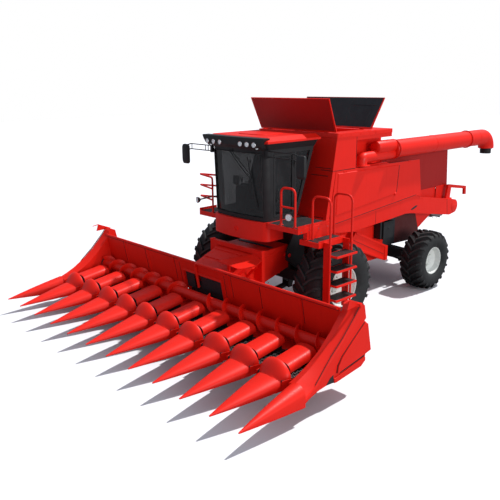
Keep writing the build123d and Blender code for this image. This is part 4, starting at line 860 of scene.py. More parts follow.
class HARVESTER_OT_tank(bpy.types.Operator):
    """Adds the tank's rim band, grooves and the liners of its two covers"""
    bl_idname = "harvester.tank"
    bl_label = "Grain tank details"

    def execute(self, context):
        sizes = context.scene.harvester_sizes
        # Painted shade: thin dark lines for the shade in the front wall's and sides' grooves.
        grooves = Forge()
        for z, near, far in ((3.417, 0.73, 1.19), (3.25, 0.63, 1.13), (2.32, 0.89, 1.17),
                             (3.372, 0.90, 1.249)):
            x = front_wall_x(z) + 0.001
            grooves.bar((x, near, z), (x, far, z), 0.006, 0.013)
        for y in (1.2515, -1.2515):
            grooves.bar((-0.51, y, 3.366), (-1.33, y, 3.366), 0.005, 0.009)
            grooves.bar((-1.33, y, 3.366), (-1.33, y, 4.08), 0.005, 0.009, FORWARD)
        grooves.done("tank_grooves", "seam", "chassis")
        band = Forge()
        for side in (1, -1):
            band.slab([(-0.632, 4.09), (-0.652, 4.186), (-2.70, 4.186), (-2.70, 4.09)],
                      flank(side, 1.249, 1.262), "Y")
            band.slab([(-2.02, 4.10), (-2.02, 4.178), (-2.64, 4.178), (-2.64, 4.10)],
                      flank(side, 1.255, 1.268), "Y")
        band.bar((-0.636, -1.25, 4.137), (-0.636, 1.25, 4.137), 0.016, 0.092, (-0.176, 0, 1))
        band.done("tank_band", "red", "chassis", sizes.edge_round)
        rows = [((x, side * 1.263, 4.138), (0, side, 0)) for side in (1, -1)
                for x in (-0.75, -1.1, -1.45, -1.8)]
        rows += [((front_wall_x(4.05) + 0.002, y, 4.05), (0.98, 0, 0.17))
                 for y in (-1.1, -0.55, 0.0, 0.55, 1.1)]
        bolts("tank_bolts", rows, "red", "chassis", sizes.panel_bolt)
        front_length, rear_length = 0.795, 0.820
        # Painted shade: the front cover's outer sheet takes the darker red; its inner face is black.
        self.line_cover("tank_front_cover", (-0.668, 4.216), (0.3955, 0.9185), front_length, "shade_red",
                        "liner_and_shade")
        spot, out = self.line_cover("tank_rear_cover", (-1.950, 4.216), (-0.5240, 0.8517), rear_length,
                                    "liner_and_shade", "red")
        ribs = Forge()
        for y in (-0.96, -0.32, 0.32, 0.96):
            ribs.bar(spot(0.08, y, 0.017), spot(rear_length - 0.06, y, 0.017), 0.045, 0.006, out)
        ribs.bar(spot(0.62, 0.45, 0.018), spot(0.62, 1.08, 0.018), 0.03, 0.008, out)
        ribs.done("tank_rear_cover_ribs", "liner_and_shade", "tank_rear_cover", 0.002)
        return {"FINISHED"}

    def line_cover(self, body, hinge, up, length, front_finish, back_finish):
        """Lays a sheet on either face of a cover, which runs up from its hinge in the (x, z) plane."""
        out = (up[1], 0, -up[0])

        def spot(rise, y, lift):
            """Point by its distance up from the hinge, its y and its lift off the cover's middle."""
            return (hinge[0] + up[0] * rise + out[0] * lift, y, hinge[1] + up[1] * rise + out[2] * lift)

        for name, finish, lifts in (("_sheet", front_finish, (0.0112, 0.0150)),
                                    ("_back", back_finish, (-0.0112, -0.0145))):
            sheet = Forge()
            sheet.skin([[spot(0.03, -1.155, lift), spot(0.03, 1.155, lift), spot(length - 0.014, 1.205, lift),
                         spot(length - 0.014, -1.205, lift)] for lift in lifts])
            sheet.done(body + name, finish, body, 0.002)
        return spot, out


class HARVESTER_OT_shields(bpy.types.Operator):
    """Adds knobs, hinge straps with their bolts and folds to the two side shields"""
    bl_idname = "harvester.shields"
    bl_label = "Side shield details"

    def execute(self, context):
        sizes = context.scene.harvester_sizes
        hinge_xs, hinge_z = (-0.95, -2.25, -3.55), 3.318
        for word, side in SIDES.items():
            body = word + "_shield"
            trim = Forge()
            trim.turned((-2.943, side * 1.250, 2.553), (0, side, 0),
                        [(0.0, 0.040), (0.016, 0.038), (0.030, 0.028), (0.036, 0.012)], 24)
            for x in hinge_xs:
                trim.bar((x - 0.07, side * 1.252, hinge_z), (x + 0.07, side * 1.252, hinge_z), 0.006, 0.045)
            trim.done(body + "_trim", "red", body, 0.0015)
            heads = [((x + a, side * 1.2555, hinge_z), (0, side, 0)) for x in hinge_xs for a in (-0.04, 0.04)]
            bolts(body + "_bolts", heads, "red", body, sizes.small_bolt)
            # Painted shade: thin dark strips for the shade along the shield's folds.
            folds = Forge()
            depth = flank(side, 1.2495, 1.2535)
            folds.slab([(-3.075, 3.262), (-3.092, 3.262), (-3.022, 2.598), (-3.005, 2.598)], depth, "Y")
            folds.slab([(-0.55, 2.150), (-3.92, 2.415), (-3.92, 2.403), (-0.55, 2.138)], depth, "Y")
            folds.done(body + "_folds", "seam", body)
        return {"FINISHED"}


class HARVESTER_OT_side_panels(bpy.types.Operator):
    """Adds black patches of painted shade for the openings, dark strips of painted shade on the seams, bolts
    and rear caps of the lower side panels
    """
    bl_idname = "harvester.side_panels"
    bl_label = "Lower side panels"

    def execute(self, context):
        sizes = context.scene.harvester_sizes
        dark, seams, caps = Forge(), Forge(), Forge()
        rows = [((-0.46, 1.985), (-1.30, 1.885), 4), ((-1.55, 1.885), (-3.45, 1.985), 6),
                ((-3.85, 1.955), (-5.48, 1.675), 6), ((-4.25, 2.275), (-5.45, 2.075), 4)]
        heads = []
        for side in (1, -1):
            depth = flank(side, 1.234, 1.2375)
            # Painted shade: a black patch on the panel stands for the shade inside an opening.
            dark.slab([(-4.03, 2.118), (-3.93, 2.112), (-3.74, 2.050), (-3.76, 2.020), (-3.86, 2.030),
                       (-4.00, 2.075)],
                      depth, "Y")
            # Painted shade: thin dark strips for the shade in the panel seams.
            seams.slab([(-5.520, 2.085), (-5.531, 2.085), (-5.592, 1.630), (-5.581, 1.630)], depth, "Y")
            seams.slab([(-2.195, 2.222), (-2.204, 2.222), (-2.204, 1.895), (-2.195, 1.895)], depth, "Y")
            heads += [((point.x, side * 1.235, point.y), (0, side, 0))
                      for start, end, count in rows for point in along(start, end, count)]
            caps.turned((-5.93, side * 1.234, 1.83), (0, side, 0),
                        [(0.0, 0.150), (0.006, 0.150), (0.010, 0.140), (0.010, 0.060), (0.016, 0.050)], 36)
            caps.slab([(-5.34, 2.05), (-5.34, 2.44), (-5.90, 2.44), (-5.95, 2.05)], flank(side, 0.972, 0.978),
                      "Y")
        dark.done("panel_opening_shade", "liner_and_shade", "chassis", 0.001)
        seams.done("panel_seams", "seam", "chassis")
        bolts("panel_bolts", heads, "red", "chassis", sizes.panel_bolt)
        caps.done("tail_caps", "red", "chassis", 0.001)
        return {"FINISHED"}


class HARVESTER_OT_cab(bpy.types.Operator):
    """Adds the cab's wiper, seals, foot line, door trim, roof hatch and skirt bolts"""
    bl_idname = "harvester.cab"
    bl_label = "Cab outside"

    def execute(self, context):
        sizes = context.scene.harvester_sizes

        def screen(y, z, off):
            """Point on the bowed windscreen, a little in front of it."""
            return (1.152 + 0.0392 * (z - 2.4) + 0.09 * (1 - (y / 0.855) ** 2) + off, y, z)

        screen_foot, screen_head, screen_half = 2.486, 3.864, 0.757
        wiper = Forge()
        wiper.tube([screen(-0.16, 3.90, 0.020), screen(0.18, 3.58, 0.034), screen(0.507, 3.284, 0.028)],
                   0.009, 0.1)
        wiper.tube([screen(-0.10, 3.90, 0.018), screen(0.23, 3.62, 0.030), screen(0.485, 3.40, 0.024)], 0.006,
                   0.1)
        blade = [screen(0.397 + 0.203 * share, 3.771 - 1.07 * share, 0.014)
                 for share in (0, 0.25, 0.5, 0.75, 1.0)]
        for start, end in zip(blade, blade[1:]):
            wiper.bar(start, end, 0.012, 0.018, FORWARD)
        wiper.box((1.265, 1.315), (-0.20, -0.06), (3.885, 3.935))
        wiper.done("screen_wiper", "trim", "chassis", 0.001)
        seals = Forge()
        for z in (screen_foot, screen_head):
            seals.tube([screen(y, z, 0.004) for y in (-0.755, -0.5, -0.25, 0.0, 0.25, 0.5, 0.755)], 0.010)
        for y in (-screen_half, screen_half):
            seals.tube([screen(y, z, 0.004) for z in (screen_foot, 2.95, 3.4, screen_head)], 0.010)
        seals.done("screen_seals", "boot", "chassis")
        # Painted shade: a dark line round the cab's foot.
        lining = Forge()
        outline = [(0.82, 0.883), (1.03, 0.875), (1.165, 0.79), (1.245, 0.5), (1.285, 0.25), (1.302, 0.0)]
        path = [(x, y, 2.312) for x, y in outline] + [(x, -y, 2.312) for x, y in reversed(outline[:-1])]
        lining.tube(path, 0.009)
        lining.done("cab_foot_line", "seam", "chassis")
        handle = Forge()
        handle.tube([(0.86, 0.880, 2.86), (0.86, 0.905, 2.88), (0.86, 0.905, 3.06), (0.86, 0.880, 3.08)],
                    0.010, 0.03)
        handle.box((0.83, 0.89), (0.876, 0.890), (2.82, 2.87))
        for z in (2.70, 3.62):
            handle.tube([(0.334, 0.880, z - 0.05), (0.334, 0.880, z + 0.05)], 0.012)
        handle.done("door_trim", "trim", "cab_door", 0.001)
        roof = Forge()
        roof.slab([(x + 0.52, y) for x, y in superellipse(0.36, 0.42, 32, 0.35)], (4.198, 4.214), "Z")
        roof.done("roof_hatch", "red", "chassis", 0.006)
        pocket = Forge()
        pocket.turned((1.316, 0.03, 2.175), (1, 0, -0.05),
                      [(0.0, 0.055), (0.022, 0.055), (0.024, 0.046), (0.010, 0.040), (0.010, 0.02)], 28)
        pocket.done("skirt_plug", "red", "chassis", 0.001)
        heads = [((x, side * 0.881, 2.27), (0, side, 0)) for side in (1, -1) for x in (0.74, 0.84, 0.94)]
        heads += [((x, side * 0.8805, 2.03), (0, side, 0)) for side in (1, -1) for x in (0.76, 0.94)]
        bolts("skirt_bolts", heads, "red", "chassis", sizes.small_bolt)
        return {"FINISHED"}


class HARVESTER_OT_seat(bpy.types.Operator):
    """Builds the operator's seat, the steering wheel's rim, the pedal and the side console"""
    bl_idname = "harvester.seat"
    bl_label = "Seat and wheel"

    def execute(self, context):
        ways = {"base": (FORWARD, LEFT, UP), "back": ((-0.124, 0, 0.992), LEFT, (0.992, 0, 0.124))}
        pads = [("seat_cushion", (0.480, 0.0, 2.775), "base", 0.245, 0.255, 0.120, 0.030),
                ("seat_backrest", (0.215, 0.0, 3.200), "back", 0.330, 0.235, 0.105, 0.026),
                ("seat_headrest", (0.165, 0.0, 3.610), "back", 0.085, 0.130, 0.085, 0.014),
                ("seat_armrest", (0.470, 0.315, 3.020), "base", 0.150, 0.040, 0.045, 0.008)]
        for name, origin, way, length, width, height, crown in pads:
            pad = Forge()
            pad.cushion(origin, *ways[way], length, width, height, crown)
            cloth = pad.done(name, "cloth", "chassis", 0.0, 60.0)
            smoothing = cloth.modifiers.new("fill", "SUBSURF")
            smoothing.levels = smoothing.render_levels = 1
            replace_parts(cloth, "cab_seat")
            seams = Forge()
            ring = [(u * 0.975, v * 0.975) for u, v in superellipse(length, width)]
            axes = [Vector(axis).normalized() for axis in ways[way]]
            welt = [Vector(origin) + axes[0] * u + axes[1] * v + axes[2] * height * 0.755 for u, v in ring]
            seams.tube(welt, 0.0045, 0.0, 8, True)
            if name in ("seat_cushion", "seat_backrest"):
                for share in (-0.5, 0.5):
                    crest = ((-0.80, -0.12), (-0.5, 0.42), (0.0, 0.72), (0.5, 0.42), (0.80, -0.12))
                    seams.tube([Vector(origin) + axes[0] * length * s + axes[1] * width * share
                                + axes[2] * (height + crown * lift) for s, lift in crest], 0.004, 0.08, 8)
            seams.done(name + "_seams", "cloth", "chassis")
        base = Forge()
        base.turned((0.48, 0.0, 2.45), UP,
                    [(0.0, 0.16), (0.02, 0.16), (0.03, 0.10), (0.22, 0.085), (0.24, 0.15), (0.27, 0.15)], 28)
        base.box((0.27, 0.70), (-0.20, 0.20), (2.72, 2.778))
        base.bar((0.20, 0.0, 2.74), (0.115, 0.0, 3.50), 0.30, 0.030, FORWARD)
        base.tube([(0.33, 0.26, 2.75), (0.33, 0.315, 2.80), (0.40, 0.315, 3.02)], 0.014, 0.06)
        for y in (-0.05, 0.05):
            base.tube([(0.155, y, 3.48), (0.150, y, 3.62)], 0.007)
        base.done("seat_frame", "trim", "chassis", 0.003)
        wheel = Forge()
        tilt = Vector((-0.22, 0, 0.975)).normalized()
        centre = Vector((0.840, 0.0, 3.095))
        wheel.tube(circle(centre, tilt, 0.200, 40), 0.015, 0.0, 12, True)
        wheel.turned(centre - tilt * 0.02, tilt, [(0.0, 0.060), (0.03, 0.060), (0.042, 0.048), (0.046, 0.02)],
                     24)
        wheel.tube([(1.00, 0.10, 2.47), (0.97, 0.10, 2.56), (1.01, 0.10, 2.60)], 0.010, 0.03)
        wheel.bar((0.985, 0.10, 2.585), (1.035, 0.10, 2.635), 0.07, 0.008)
        wheel.box((0.60, 0.84), (-0.47, -0.31), (3.008, 3.030))
        lever = [(0.0, 0.035), (0.03, 0.020), (0.09, 0.014), (0.12, 0.026), (0.16, 0.024), (0.17, 0.012)]
        wheel.turned((0.74, -0.39, 3.03), UP, lever, 20)
        wheel.box((0.86, 0.89), (-0.52, -0.34), (3.05, 3.26))
        wheel.bar((0.84, -0.43, 3.00), (0.872, -0.43, 3.10), 0.03, 0.02, LEFT)
        wheel.done("steering_rim", "trim", "chassis", 0.002)
        return {"FINISHED"}


class HARVESTER_OT_lamps(bpy.types.Operator):
    """Builds the cab's brow with its lamp rows, the two round lamps on arms and the tail lamps"""
    bl_idname = "harvester.lamps"
    bl_label = "Lamps"

    def execute(self, context):
        row = [((1.440, side * y, 4.055), (1, side * 0.10, -0.08), 0.052) for y in (0.33, 0.54, 0.75)
               for side in (1, -1)]
        arms = [((1.130, 1.453, 2.596), (0.93, 0.35, -0.05), 0.072),
                ((0.935, -1.824, 2.523), (0.93, -0.35, -0.05), 0.072)]
        bowls, bezels, lenses, bodies = Forge(), Forge(), Forge(), Forge()
        for place, facing, radius in row + arms:
            bowls.turned(place, facing, [(-0.030, radius * 0.5), (-0.016, radius * 0.8),
                                         (-0.004, radius * 0.95)], 28)
            bezels.turned(place, facing, [(-0.012, radius * 0.93), (0.006, radius * 0.93), (0.008, radius),
                                          (0.002, radius * 1.08), (-0.012, radius * 1.08)], 28, True)
            lenses.turned(place, facing, [(-0.003, radius * 0.93), (0.003, radius * 0.90),
                                          (0.008, radius * 0.66), (0.011, radius * 0.25)], 28)
        for place, facing, radius in arms:
            bodies.turned(place, facing, [(-0.085, radius * 0.35), (-0.075, radius * 0.6),
                                          (-0.045, radius * 0.9), (-0.012, radius * 1.04),
                                          (-0.008, radius * 0.9)], 28)
        bodies.tube([(1.11, 1.565, 2.55), (1.08, 1.50, 2.55), (1.06, 1.46, 2.575)], 0.012, 0.03)
        bodies.tube([(0.90, -0.86, 2.74), (0.90, -1.25, 2.68), (0.89, -1.78, 2.535)], 0.017, 0.1)
        brow = []
        for z, front, half in ((3.955, 1.350, 0.860), (4.020, 1.412, 0.905), (4.150, 1.432, 0.975),
                               (4.190, 1.425, 0.985)):
            right = [(1.20, -half), (front - 0.045, -half), (front - 0.005, -half * 0.62)]
            plan = right + [(front, 0.0)] + [(x, -y) for x, y in reversed(right)]
            brow.append([(x, y, z) for x, y in plan])
        bodies.skin(brow)
        # Painted light: the lamp bowls glow through their emission.
        bowls.done("lamp_bowls", "reflector_glow", "chassis")
        bezels.done("lamp_bezels", "bright", "chassis")
        lenses.done("lamp_lenses", "clear", "chassis")
        bodies.done("lamp_bodies", "trim", "chassis", 0.004)
        rear = Forge()
        for side in (1, -1):
            rear.slab([(y + side * 0.82, z + 2.36) for y, z in superellipse(0.055, 0.030, 24)],
                      (-5.952, -5.925), "X")
        rear.done("tail_lamps", "tail_red", "chassis", 0.003)
        return {"FINISHED"}


class HARVESTER_OT_mirrors(bpy.types.Operator):
    """Builds the two mirrors with their double-tube loops"""
    bl_idname = "harvester.mirrors"
    bl_label = "Mirrors"

    def execute(self, context):
        shells, faces, loops = Forge(), Forge(), Forge()
        for side in (1, -1):
            centre = Vector((1.205, side * 1.855, 3.672))
            depths = ((-0.036, 0.90), (-0.034, 0.985), (-0.026, 1.0), (0.010, 0.99), (0.028, 0.90),
                      (0.036, 0.72))
            edge = superellipse(0.118, 0.232, 36, 0.34)
            shells.skin([[centre + Vector((x, u * scale, v * scale)) for u, v in edge]
                         for x, scale in depths])
            edge = superellipse(0.108, 0.222, 36, 0.34)
            faces.skin([[centre + Vector((x, u * 0.90, v * 0.95)) for u, v in edge]
                        for x in (-0.0400, -0.0355)])
            top, low = 3.925, 3.806
            for z in (top, low):
                loops.tube([(1.175, side * 0.90, z), (1.195, side * 1.06, z), (1.200, side * 1.66, z),
                            (1.205, side * 1.76, z - 0.03)], 0.012, 0.05, 10)
            for y in (1.02, 1.12, 1.62):
                loops.tube([(1.196, side * y, low), (1.196, side * y, top)], 0.009, 0.0, 8)
            loops.box((1.150, 1.215), flank(side, 0.86, 0.925), (3.775, 3.935))
        shells.done("mirror_shells", "trim", "chassis")
        faces.done("mirror_faces", "mirror", "chassis")
        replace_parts(loops.done("mirror_loops", "trim", "chassis"), "mirrors")
        return {"FINISHED"}


class HARVESTER_OT_feeder(bpy.types.Operator):
    """Adds the adapter plate, ribs, slot, bearing and bolts of the feeder house"""
    bl_idname = "harvester.feeder"
    bl_label = "Feeder details"

    def execute(self, context):
        sizes = context.scene.harvester_sizes

        def top(x):
            """Height of the feeder's top sheet."""
            return 1.72 - (x - 0.26) * 0.0303 if x < 1.25 else 1.69 - (x - 1.25) * 0.4

        plate = Forge()
        outline = [(1.97, 0.14, 1.560), (1.56, 0.31, 1.600), (1.30, 0.62, 1.690), (1.29, 0.86, 1.600),
                   (1.80, 1.10, 1.555), (2.03, 0.86, 1.550)]
        plate.skin([[(x, y, z + lift) for x, y, z in outline] for lift in (0.0, 0.016)])
        for x, y, head in ((1.62, 0.36, 1.60), (1.95, 0.50, 1.56)):
            plate.bar((x, y, top(x) - 0.01), (x, y, head), 0.05, 0.05, FORWARD)
        plate.bar((1.90, 0.98, 1.555), (2.06, 0.70, 1.28), 0.06, 0.02, FORWARD)
        plate.bar((1.62, 1.00, 1.565), (1.56, 0.635, 1.24), 0.06, 0.02, FORWARD)
        plate.done("adapter_plate", "red", "feeder", 0.003)
        ribs = Forge()
        slope = (0.37, 0, 0.93)
        for x in (1.42, 1.72, 2.02):
            ribs.bar((x, -0.60, top(x) + 0.010), (x, 0.60, top(x) + 0.010), 0.04, 0.022, slope)
        for side in (1, -1):
            depth = flank(side, 0.622, 0.634)
            ribs.slab([(1.435, 1.314), (1.332, 1.163), (1.075, 1.236), (1.162, 1.06), (1.30, 1.02),
                       (1.50, 1.22)],
                      depth, "Y")
            ribs.slab([(0.45, 1.60), (0.45, 1.56), (1.20, 1.53), (1.20, 1.57)], depth, "Y")
            ribs.box((1.225, 1.345), flank(side, 0.80, 0.866), (1.775, 1.802))
        ribs.done("feeder_ribs", "red", "feeder", 0.002)
        slot = Forge()
        slot.bar((0.72, -0.55, 1.713), (0.72, 0.55, 1.713), 0.10, 0.006)
        slot.done("feeder_slot", "liner_and_shade", "feeder")
        drive = Forge()
        drive.turned((2.02, 0.765, 1.00), LEFT, [(0.0, 0.07), (0.02, 0.07), (0.03, 0.05), (0.05, 0.04)], 28)
        drive.done("feeder_bearing", "black", "feeder", 0.002)
        heads = [((x, side * 0.621, z), (0, side, 0)) for side in (1, -1)
                 for x, z in ((0.45, 1.46), (0.75, 1.42), (1.05, 1.36), (0.55, 1.10), (0.90, 0.95),
                              (1.60, 1.10))]
        heads += [((x, y, top(x) + 0.001), slope) for x in (1.36, 1.58, 1.86) for y in (-0.5, -0.2, 0.1)]
        bolts("feeder_bolts", heads, "red", "feeder", sizes.panel_bolt)
        return {"FINISHED"}


class HARVESTER_OT_header_sheet(bpy.types.Operator):
    """Adds the painted shade of the seams, the stiffeners and the painted shade behind the openings of the
    head's rear sheet
    """
    bl_idname = "harvester.header_sheet"
    bl_label = "Head rear sheet"

    def execute(self, context):
        sizes = context.scene.harvester_sizes

        def sheet(y, z, off):
            """Point in front of the head's sloping rear sheet."""
            return (2.215 + (z - 0.835) * 0.1888 + off, y, z)

        # Painted shade: dark strips for the shade in the rear sheet's seams.
        seams = Forge()
        for y, low, high in ((0.98, 1.00, 1.50), (1.83, 1.00, 1.46), (-0.94, 1.00, 1.50), (2.95, 1.00, 1.50),
                             (-2.10, 1.00, 1.50), (-3.05, 1.00, 1.50), (0.76, 0.96, 1.45),
                             (-0.76, 0.96, 1.45)):
            seams.bar(sheet(y, low, 0.002), sheet(y, high, 0.002), 0.009, 0.004, FORWARD)
        for start, end in ((-3.8, -0.78), (0.78, 3.8)):
            seams.bar(sheet(start, 1.505, 0.002), sheet(end, 1.505, 0.002), 0.004, 0.008)
        seams.done("sheet_seams", "seam", "feeder")
        # Painted shade: black sheets just behind the rear sheet's openings stand for the shade seen through
        # them.
        dark = Forge()
        for right, left, foot, head in ((-0.607, -0.326, 0.90, 1.27), (-0.09, 0.62, 0.96, 1.24)):
            corners = ((right, foot), (left, foot), (left, head), (right, head))
            dark.skin([[sheet(y, z, off) for y, z in corners] for off in (-0.030, -0.022)])
        dark.done("throat_shadow", "liner_and_shade", "feeder")
        red = Forge()
        for y in (0.66, -0.66):
            red.bar(sheet(y, 0.90, 0.008), sheet(y, 1.30, 0.008), 0.05, 0.016, FORWARD)
        red.bar(sheet(-0.66, 1.30, 0.008), sheet(0.66, 1.30, 0.008), 0.016, 0.05)
        red.done("sheet_stiffeners", "red", "feeder", 0.002)
        heads = [(sheet(y, 1.455, 0.001), (-0.9826, 0, 0.1855))
                 for y in (-3.6, -2.8, -2.0, -1.2, 1.2, 2.0, 2.8, 3.6)]
        heads += [(sheet(y, z, 0.017), (0.98, 0, -0.18)) for y in (-0.66, 0.66) for z in (0.97, 1.10, 1.23)]
        bolts("sheet_bolts", heads, "red", "feeder", sizes.panel_bolt)
        return {"FINISHED"}


class HARVESTER_OT_rows(bpy.types.Operator):
    """Builds the snouts and row hoods, with black painted shade in their mouths, their skirts, gathering
    chains and chain guides
    """
    bl_idname = "harvester.rows"
    bl_label = "Row units"

    def execute(self, context):
        sizes = context.scene.harvester_sizes
        chain_spread = 0.082
        loops = [((3.085, y + side * chain_spread, 0.618), UP) for y in STALK_SLOTS for side in (1, -1)]
        tree_of(chain_tree).grow("gathering_chains", loops, "worn", "feeder", Length=0.80, Width=0.085,
                                 Pitch=sizes.chain_pitch, Lug=(0.014, 0.062, 0.016),
                                 Plate=(0.040, 0.012, 0.010))
        guides = Forge()
        for y in STALK_SLOTS:
            for side in (1, -1):
                middle = y + side * chain_spread
                guides.box((2.78, 3.40), (middle - 0.012, middle + 0.012), (0.601, 0.608))
                guides.turned((3.455, middle, 0.602), UP, [(0.0, 0.036), (0.022, 0.036), (0.026, 0.028)], 18)
        guides.box((2.100, 2.120), (-0.72, 0.72), (0.70, 1.05))
        guides.done("chain_guides", "black", "feeder")
        noses, hoods, mouths, skirts = Forge(), Forge(), Forge(), Forge()
        stations = [(3.385, 0.7838, 1.0), (3.00, 0.8396, 1.0), (2.735, 0.8781, 1.0), (2.715, 0.8800, 0.975),
                    (2.705, 0.8740, 0.93)]
        plan = [(3.66, 0.302), (3.47, 0.347), (3.38, 0.366), (3.12, 0.366), (3.10, 0.360), (3.38, 0.360),
                (3.64, 0.296)]
        for y in ROW_CENTRES:
            noses.skin(row_snout(y))
            hoods.skin([hood_ring(x, y, top, scale) for x, top, scale in stations])
            # Painted shade: black caps at the hoods' front ends and the collars' rims stand for the shade
            # inside their open mouths.
            mouths.skin([hood_ring(x, y, 0.775, 0.955) for x in (3.375, 3.392)])
            mouths.skin([arch(x, y, 0.318, 0.602, 0.62, 0.850) for x in (3.455, 3.466)])
            for side in (1, -1):
                skirts.slab([(x, y + side * across) for x, across in plan], (0.455, 0.607), "Z")
        for side in (1, -1):
            noses.skin(end_snout(side))
        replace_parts(noses.done("snout_skins", "red", "feeder", 0.0, 28.0), "snouts")
        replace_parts(hoods.done("row_hood_skins", "red", "feeder", 0.0, 50.0), "row_hoods")
        mouths.done("hood_mouth_shade", "liner_and_shade", "feeder")
        skirts.done("deck_skirts", "red", "feeder", 0.001)
        return {"FINISHED"}


class HARVESTER_OT_end_shields(bpy.types.Operator):
    """Builds the head's end shields from nested outlines, with their panels, hooks, guards and grooves"""
    bl_idname = "harvester.end_shields"
    bl_label = "Head end shields"

    def execute(self, context):
        # Outlines in (x, z): the rim that all four share, then the front edge of each from the inside out.
        rim = [(2.220, 1.685), (2.085, 1.635), (2.030, 1.385), (2.075, 1.352), (2.003, 1.290), (1.892, 0.765),
               (2.012, 0.735), (2.030, 0.610), (2.150, 0.530), (2.800, 0.455), (2.900, 0.500), (3.050, 0.475),
               (3.257, 0.450), (3.450, 0.390), (3.620, 0.310)]
        inner = [(3.60, 0.600), (3.40, 0.670), (3.19, 0.765), (2.89, 0.935), (2.60, 1.190), (2.31, 1.500),
                 (2.26, 1.620)]
        ridge = [(3.62, 0.665), (3.44, 0.735), (3.25, 0.825), (3.02, 0.965), (2.70, 1.190), (2.37, 1.520),
                 (2.29, 1.660)]
        fold = [(3.60, 0.400), (3.30, 0.560), (3.08, 0.785), (2.92, 0.945), (2.625, 1.190), (2.30, 1.515),
                (2.215, 1.620)]
        face = [(3.58, 0.395), (3.285, 0.545), (3.062, 0.772), (2.902, 0.930), (2.608, 1.175), (2.285, 1.500),
                (2.200, 1.605)]
        panel = [(2.790, 0.610), (2.770, 0.736), (2.666, 0.867), (2.380, 1.090), (2.071, 1.320),
                 (2.003, 1.285), (1.895, 0.770), (2.012, 0.745)]
        strip = [(2.865, 0.458), (2.870, 0.540), (2.700, 0.572), (2.070, 0.690), (2.035, 0.665),
                 (2.035, 0.608), (2.150, 0.532), (2.800, 0.457)]
        hook = [(2.05, 1.640), (2.42, 1.795), (2.585, 1.775), (2.585, 1.760), (2.43, 1.775), (2.486, 1.626)]
        skins, panels, hooks, guards, grooves = Forge(), Forge(), Forge(), Forge(), Forge()
        for side in (1, -1):
            skins.skin([[(x, side * y, z) for x, z in edge + rim]
                        for y, edge in ((3.832, inner), (4.000, ridge), (4.135, fold), (4.160, face))])
            panels.slab(panel, flank(side, 4.150, 4.189), "Y")
            panels.slab(strip, flank(side, 4.140, 4.180), "Y")
            hooks.slab(hook, flank(side, 4.08, 4.10), "Y")
            guards.slab([(2.720, 0.580), (2.700, 0.600), (2.060, 0.718), (2.050, 0.690)],
                        flank(side, 4.155, 4.164), "Y")
            guards.slab([(3.060, 0.480), (2.960, 0.580), (2.880, 0.610), (2.872, 0.470)],
                        flank(side, 4.155, 4.166), "Y")
            # Painted shade: dark tubes along the fold and the panel's edge.
            for path, y in ((fold[1:], 4.141), (panel[:5], 4.163)):
                grooves.tube([(x + 0.006, side * y, z + 0.006) for x, z in path], 0.0075, 0.0, 6)
        hooks.done("end_hooks", "red", "feeder", 0.003)
        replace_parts(skins.done("end_skins", "red", "feeder", 0.004, 24.0), "end_shields")
        panels.done("end_folds", "red", "feeder", 0.008)
        guards.done("end_guards", "black", "feeder", 0.001)
        grooves.done("end_grooves", "seam", "feeder")
        return {"FINISHED"}


class HARVESTER_OT_auger(bpy.types.Operator):
    """Adds the collars at the cross auger's ends"""
    bl_idname = "harvester.auger"
    bl_label = "Cross auger"

    def execute(self, context):
        ends = Forge()
        for side in (1, -1):
            ends.turned((AUGER_X, side * 3.77, AUGER_Z), (0, side, 0),
                        [(0.0, 0.126), (0.012, 0.126), (0.016, 0.118), (0.040, 0.118)], 36)
        ends.done("auger_collars", "black", "auger", 0.001)
        return {"FINISHED"}


def ring_band(forge, centre, axis, length, outer, inner, sides=48):
    """Square-edged ring round an axis, from its centre on along the axis."""
    forge.turned(centre, axis, [(0.0, outer), (length, outer), (length, inner), (0.0, inner)], sides, True)


